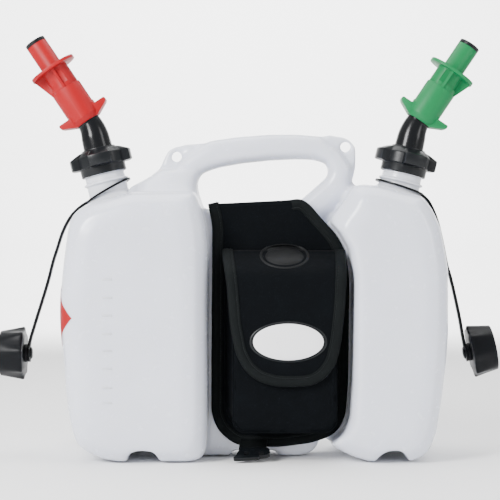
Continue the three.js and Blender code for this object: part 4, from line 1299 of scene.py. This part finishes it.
def open_mouth(item):
    """Takes the top wall off, and closes the small hole in the middle of the face."""
    work = bmesh.new()
    work.from_mesh(item.data)
    _, face_from, mouth = PART @ Vector((0, POUCH_FACE_FROM, POUCH_MOUTH))
    lids_from = (PART @ Vector((0, POUCH_LIDS_FROM, 0))).y
    middles = [(face, face.calc_center_median()) for face in work.faces]
    high = [face for face, middle in middles if middle.z > mouth and middle.y > face_from]
    bmesh.ops.delete(work, geom=high, context="FACES")
    bmesh.ops.holes_fill(work, edges=[e for e in work.edges if e.is_boundary], sides=0)
    lids = [f for f in work.faces if len(f.verts) > 20 and f.calc_center_median().y > lids_from]
    bmesh.ops.delete(work, geom=lids, context="FACES_ONLY")
    work.to_mesh(item.data)
    work.free()


def piping_rings(edge, radius=0.7):
    """Round sections of the piping along the face's edge."""
    depth = Vector((0, 1, 0))
    rings = []
    for i, p in enumerate(edge):
        after = edge[(i + 1) % len(edge)]
        side = Vector((after.x - p.x, 0, after.y - p.y)).normalized().cross(depth)
        at = Vector((p.x, POUCH_FRONT + 1.6, p.y))
        angles = [k * math.pi / 5 for k in range(10)]
        rings.append([at + side * radius * math.cos(a) + depth * radius * math.sin(a) for a in angles])
    return rings + rings[:1]


def build_pouch():
    base = rounded_rectangle(-24.5, 84.5, 28, 192, 24)
    face = rounded_rectangle(-16.2, 82.7, 30, 186, 12)
    item = solid("bag_pouch_look", loft(pouch_rings(base, face), caps=False), Matrix(), NEOPRENE)
    open_mouth(item)
    thicken(item, POUCH_THICKNESS, -1)
    shade(item, 50)
    install(item, "can", ["bag_pouch"])
    piping = loft(piping_rings(face), caps=False)
    piped = fitted("bag_pouch_piping", piping, Matrix(), NEOPRENE, 60, "can")


build_pouch()

# Flap
# One bound sheet sewn to the panel's top, folded over the pouch and held on it
# by a hook pad and a loop pad.
FLAP_OUTLINE = [
    (-27.3, 203.6), (-21.9, 170.2), (-19, 133.1), (-13.3, 104.5), (-4.8, 89.3), (6.7, 79.8),
    (23.8, 74.5), (40.9, 74.1), (58.1, 75), (71.4, 81.7), (81.9, 96), (86.6, 116),
    (90.4, 150.2), (92.3, 184.5), (93.2, 203),
]
FLAP_BEND = [
    (203.8, -27.8), (202.8, -31), (200.6, -39), (196.5, -50.5), (190.2, -62), (183.5, -69.4),
    (174, -71.6), (60, -71.4),
]
FLAP_MIDDLE = (33, 140)
FLAP_THICKNESS = 2.6


def flap_line(z):
    """Depth of the flap's fold at a height."""
    for (z0, y0), (z1, y1) in zip(FLAP_BEND, FLAP_BEND[1:]):
        if z >= z1:
            share = min(1, max(0, (z0 - z) / (z0 - z1)))
            return y0 + (y1 - y0) * share
    return FLAP_BEND[-1][1]


def flap_surface(x, z):
    """Depth of the flap's middle layer: its fold, eased over 8 mm, with belly and wrinkles."""
    wide = [flap_line(z + dz) for dz in (-4, -2, 0, 2, 4)]
    smooth = sum(wide) / 5
    belly = 0.9 * math.cos((x - 33) / 58 * math.pi / 2) if z < 184 else 0
    calm = min(1, max(0, (200 - z) / 40))
    return smooth - belly * calm + folds(x, z, 3.3, deep=0.7) * calm


def build_flap():
    flap = disc_sheet("bag_flap_look", FLAP_OUTLINE, flap_surface, FLAP_THICKNESS, NEOPRENE, 34, 2.6)
    install(flap, "can", ["bag_flap"])
    sewn_on = bound_edge("bag_flap_tape", FLAP_OUTLINE, flap_surface, FLAP_MIDDLE, ["bag_flap_binding"])
    repaint(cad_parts["bag_hook_pad"], NEOPRENE)
    repaint(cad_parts["bag_loop_pad"], NEOPRENE)


build_flap()

# Strap and buckle
# Webbing from under the panel carries half of a moulded release buckle, whose
# tip rests on the ground in front of the can.
STRAP_LINE = [(-26, 19), (-30, 17.3), (-36, 15.6), (-44, 13), (-51, 9.8)]
STRAP_SECTION = [
    (-8.5, 0, -0.9), (17.5, 0, -0.9), (17.9, 0, 0), (17.5, 0, 0.9), (-8.5, 0, 0.9), (-8.9, 0, 0),
]
BUCKLE_OUTLINE = [
    (-9.5, -47.5), (16.5, -47.5), (18.8, -50), (19.4, -54), (18.8, -58), (15.5, -60.2),
    (9.5, -60.6), (8.5, -63.8), (-12, -65.6), (-15.2, -65.2), (-16, -63.2), (-13.6, -60.4), (-11.4, -54),
]
BUCKLE_ROOT = 47
BUCKLE_HEIGHT = 12
BUCKLE_LEAN = math.radians(27)


def build_strap():
    rings = []
    for i, (y, z) in enumerate(STRAP_LINE):
        rings.append([(x - 0.6 * i, y + dy, z + dz) for x, dy, dz in STRAP_SECTION])
    fitted("bag_strap_webbing", loft(rings), Matrix(), TAPE, 50, "can")
    lean = Matrix.Translation((0, -BUCKLE_ROOT, BUCKLE_HEIGHT)) @ Matrix.Rotation(BUCKLE_LEAN, 4, "X")
    plate = loft([[(x, y + BUCKLE_ROOT, z) for x, y in BUCKLE_OUTLINE] for z in (-1.9, 1.9)])
    buckle = solid("bag_buckle", plate, lean, BLACK)
    for x in (-5.5, 8.5):
        combine(buckle, solid("slot", box_shape(x, x + 4.5, -13, -8, -5, 5), lean), "DIFFERENCE")
    soften_edges(buckle, 0.7, 40)
    repaint(buckle, BLACK)
    install(buckle, "can")
    repaint(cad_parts["bag_strap"], NEOPRENE)


build_strap()

# Badge
# A plain oval of white enamel in a thin moulded rim, fixed through the flap's
# face.
BADGE_WHITE = plastic("badge_enamel", (0.88, 0.88, 0.9), (0.9, 0.9, 0.9), 0.3, 0.05, 0.03)
BADGE_MIDDLE = (36.5, 117)
BADGE_BACK = -73.4


def dome(name, hx, hz, middle, surface, profile, material, nodes=(), count=72):
    """Oval form lying on a surface; the profile gives (share of the half size, height)."""
    def lifted(x, z):
        return Vector((x, surface(x, z), z))

    rings = []
    for share, height in profile:
        ring = []
        for i in range(count):
            angle = 2 * math.pi * i / count
            x = middle[0] + hx * share * math.cos(angle)
            z = middle[1] + hz * share * math.sin(angle)
            rise = (lifted(x, z + 3) - lifted(x, z - 3)).normalized()
            ring.append(lifted(x, z) + Vector((1, 0, 0)).cross(rise) * height)
        rings.append(ring)
    fitted(name, loft(rings), Matrix(), material, 40, "can", nodes)


def badge_plane(x, z):
    """The badge is flat: all its points have one depth."""
    return BADGE_BACK


dome(
    "bag_badge_rim", 36.6, 19.4, BADGE_MIDDLE, badge_plane,
    [(1, -1.2), (1.01, 0.4), (0.985, 0.9), (0.95, 0.9), (0.94, 0.2), (0.3, 0.2)],
    BLACK, ["bag_badge"],
)
dome(
    "bag_badge_face", 33.6, 17.4, BADGE_MIDDLE, badge_plane,
    [(1, -0.5), (1.0, 0.5), (0.98, 0.8), (0.6, 1.25), (0.2, 1.4)],
    BADGE_WHITE,
)

# Cable port
# A soft rubber oval moulded in two pieces and let into the flap at its bend: a
# rolled ring round a domed cover.
dome(
    "bag_port_flange", 24.3, 12.4, (33.4, 198), flap_surface,
    [(1, -1.0), (1.01, 0.8), (0.985, 1.7), (0.94, 2.2), (0.895, 1.8), (0.87, 0.9), (0.86, -0.6),
     (0.3, -0.6)],
    RUBBER, ["bag_port"],
)
dome(
    "bag_port_lens", 19.6, 8.6, (33.4, 197.2), flap_surface,
    [(1, -0.6), (1.0, 0.5), (0.94, 1.6), (0.78, 2.7), (0.5, 3.5), (0.2, 3.9)],
    RUBBER,
)
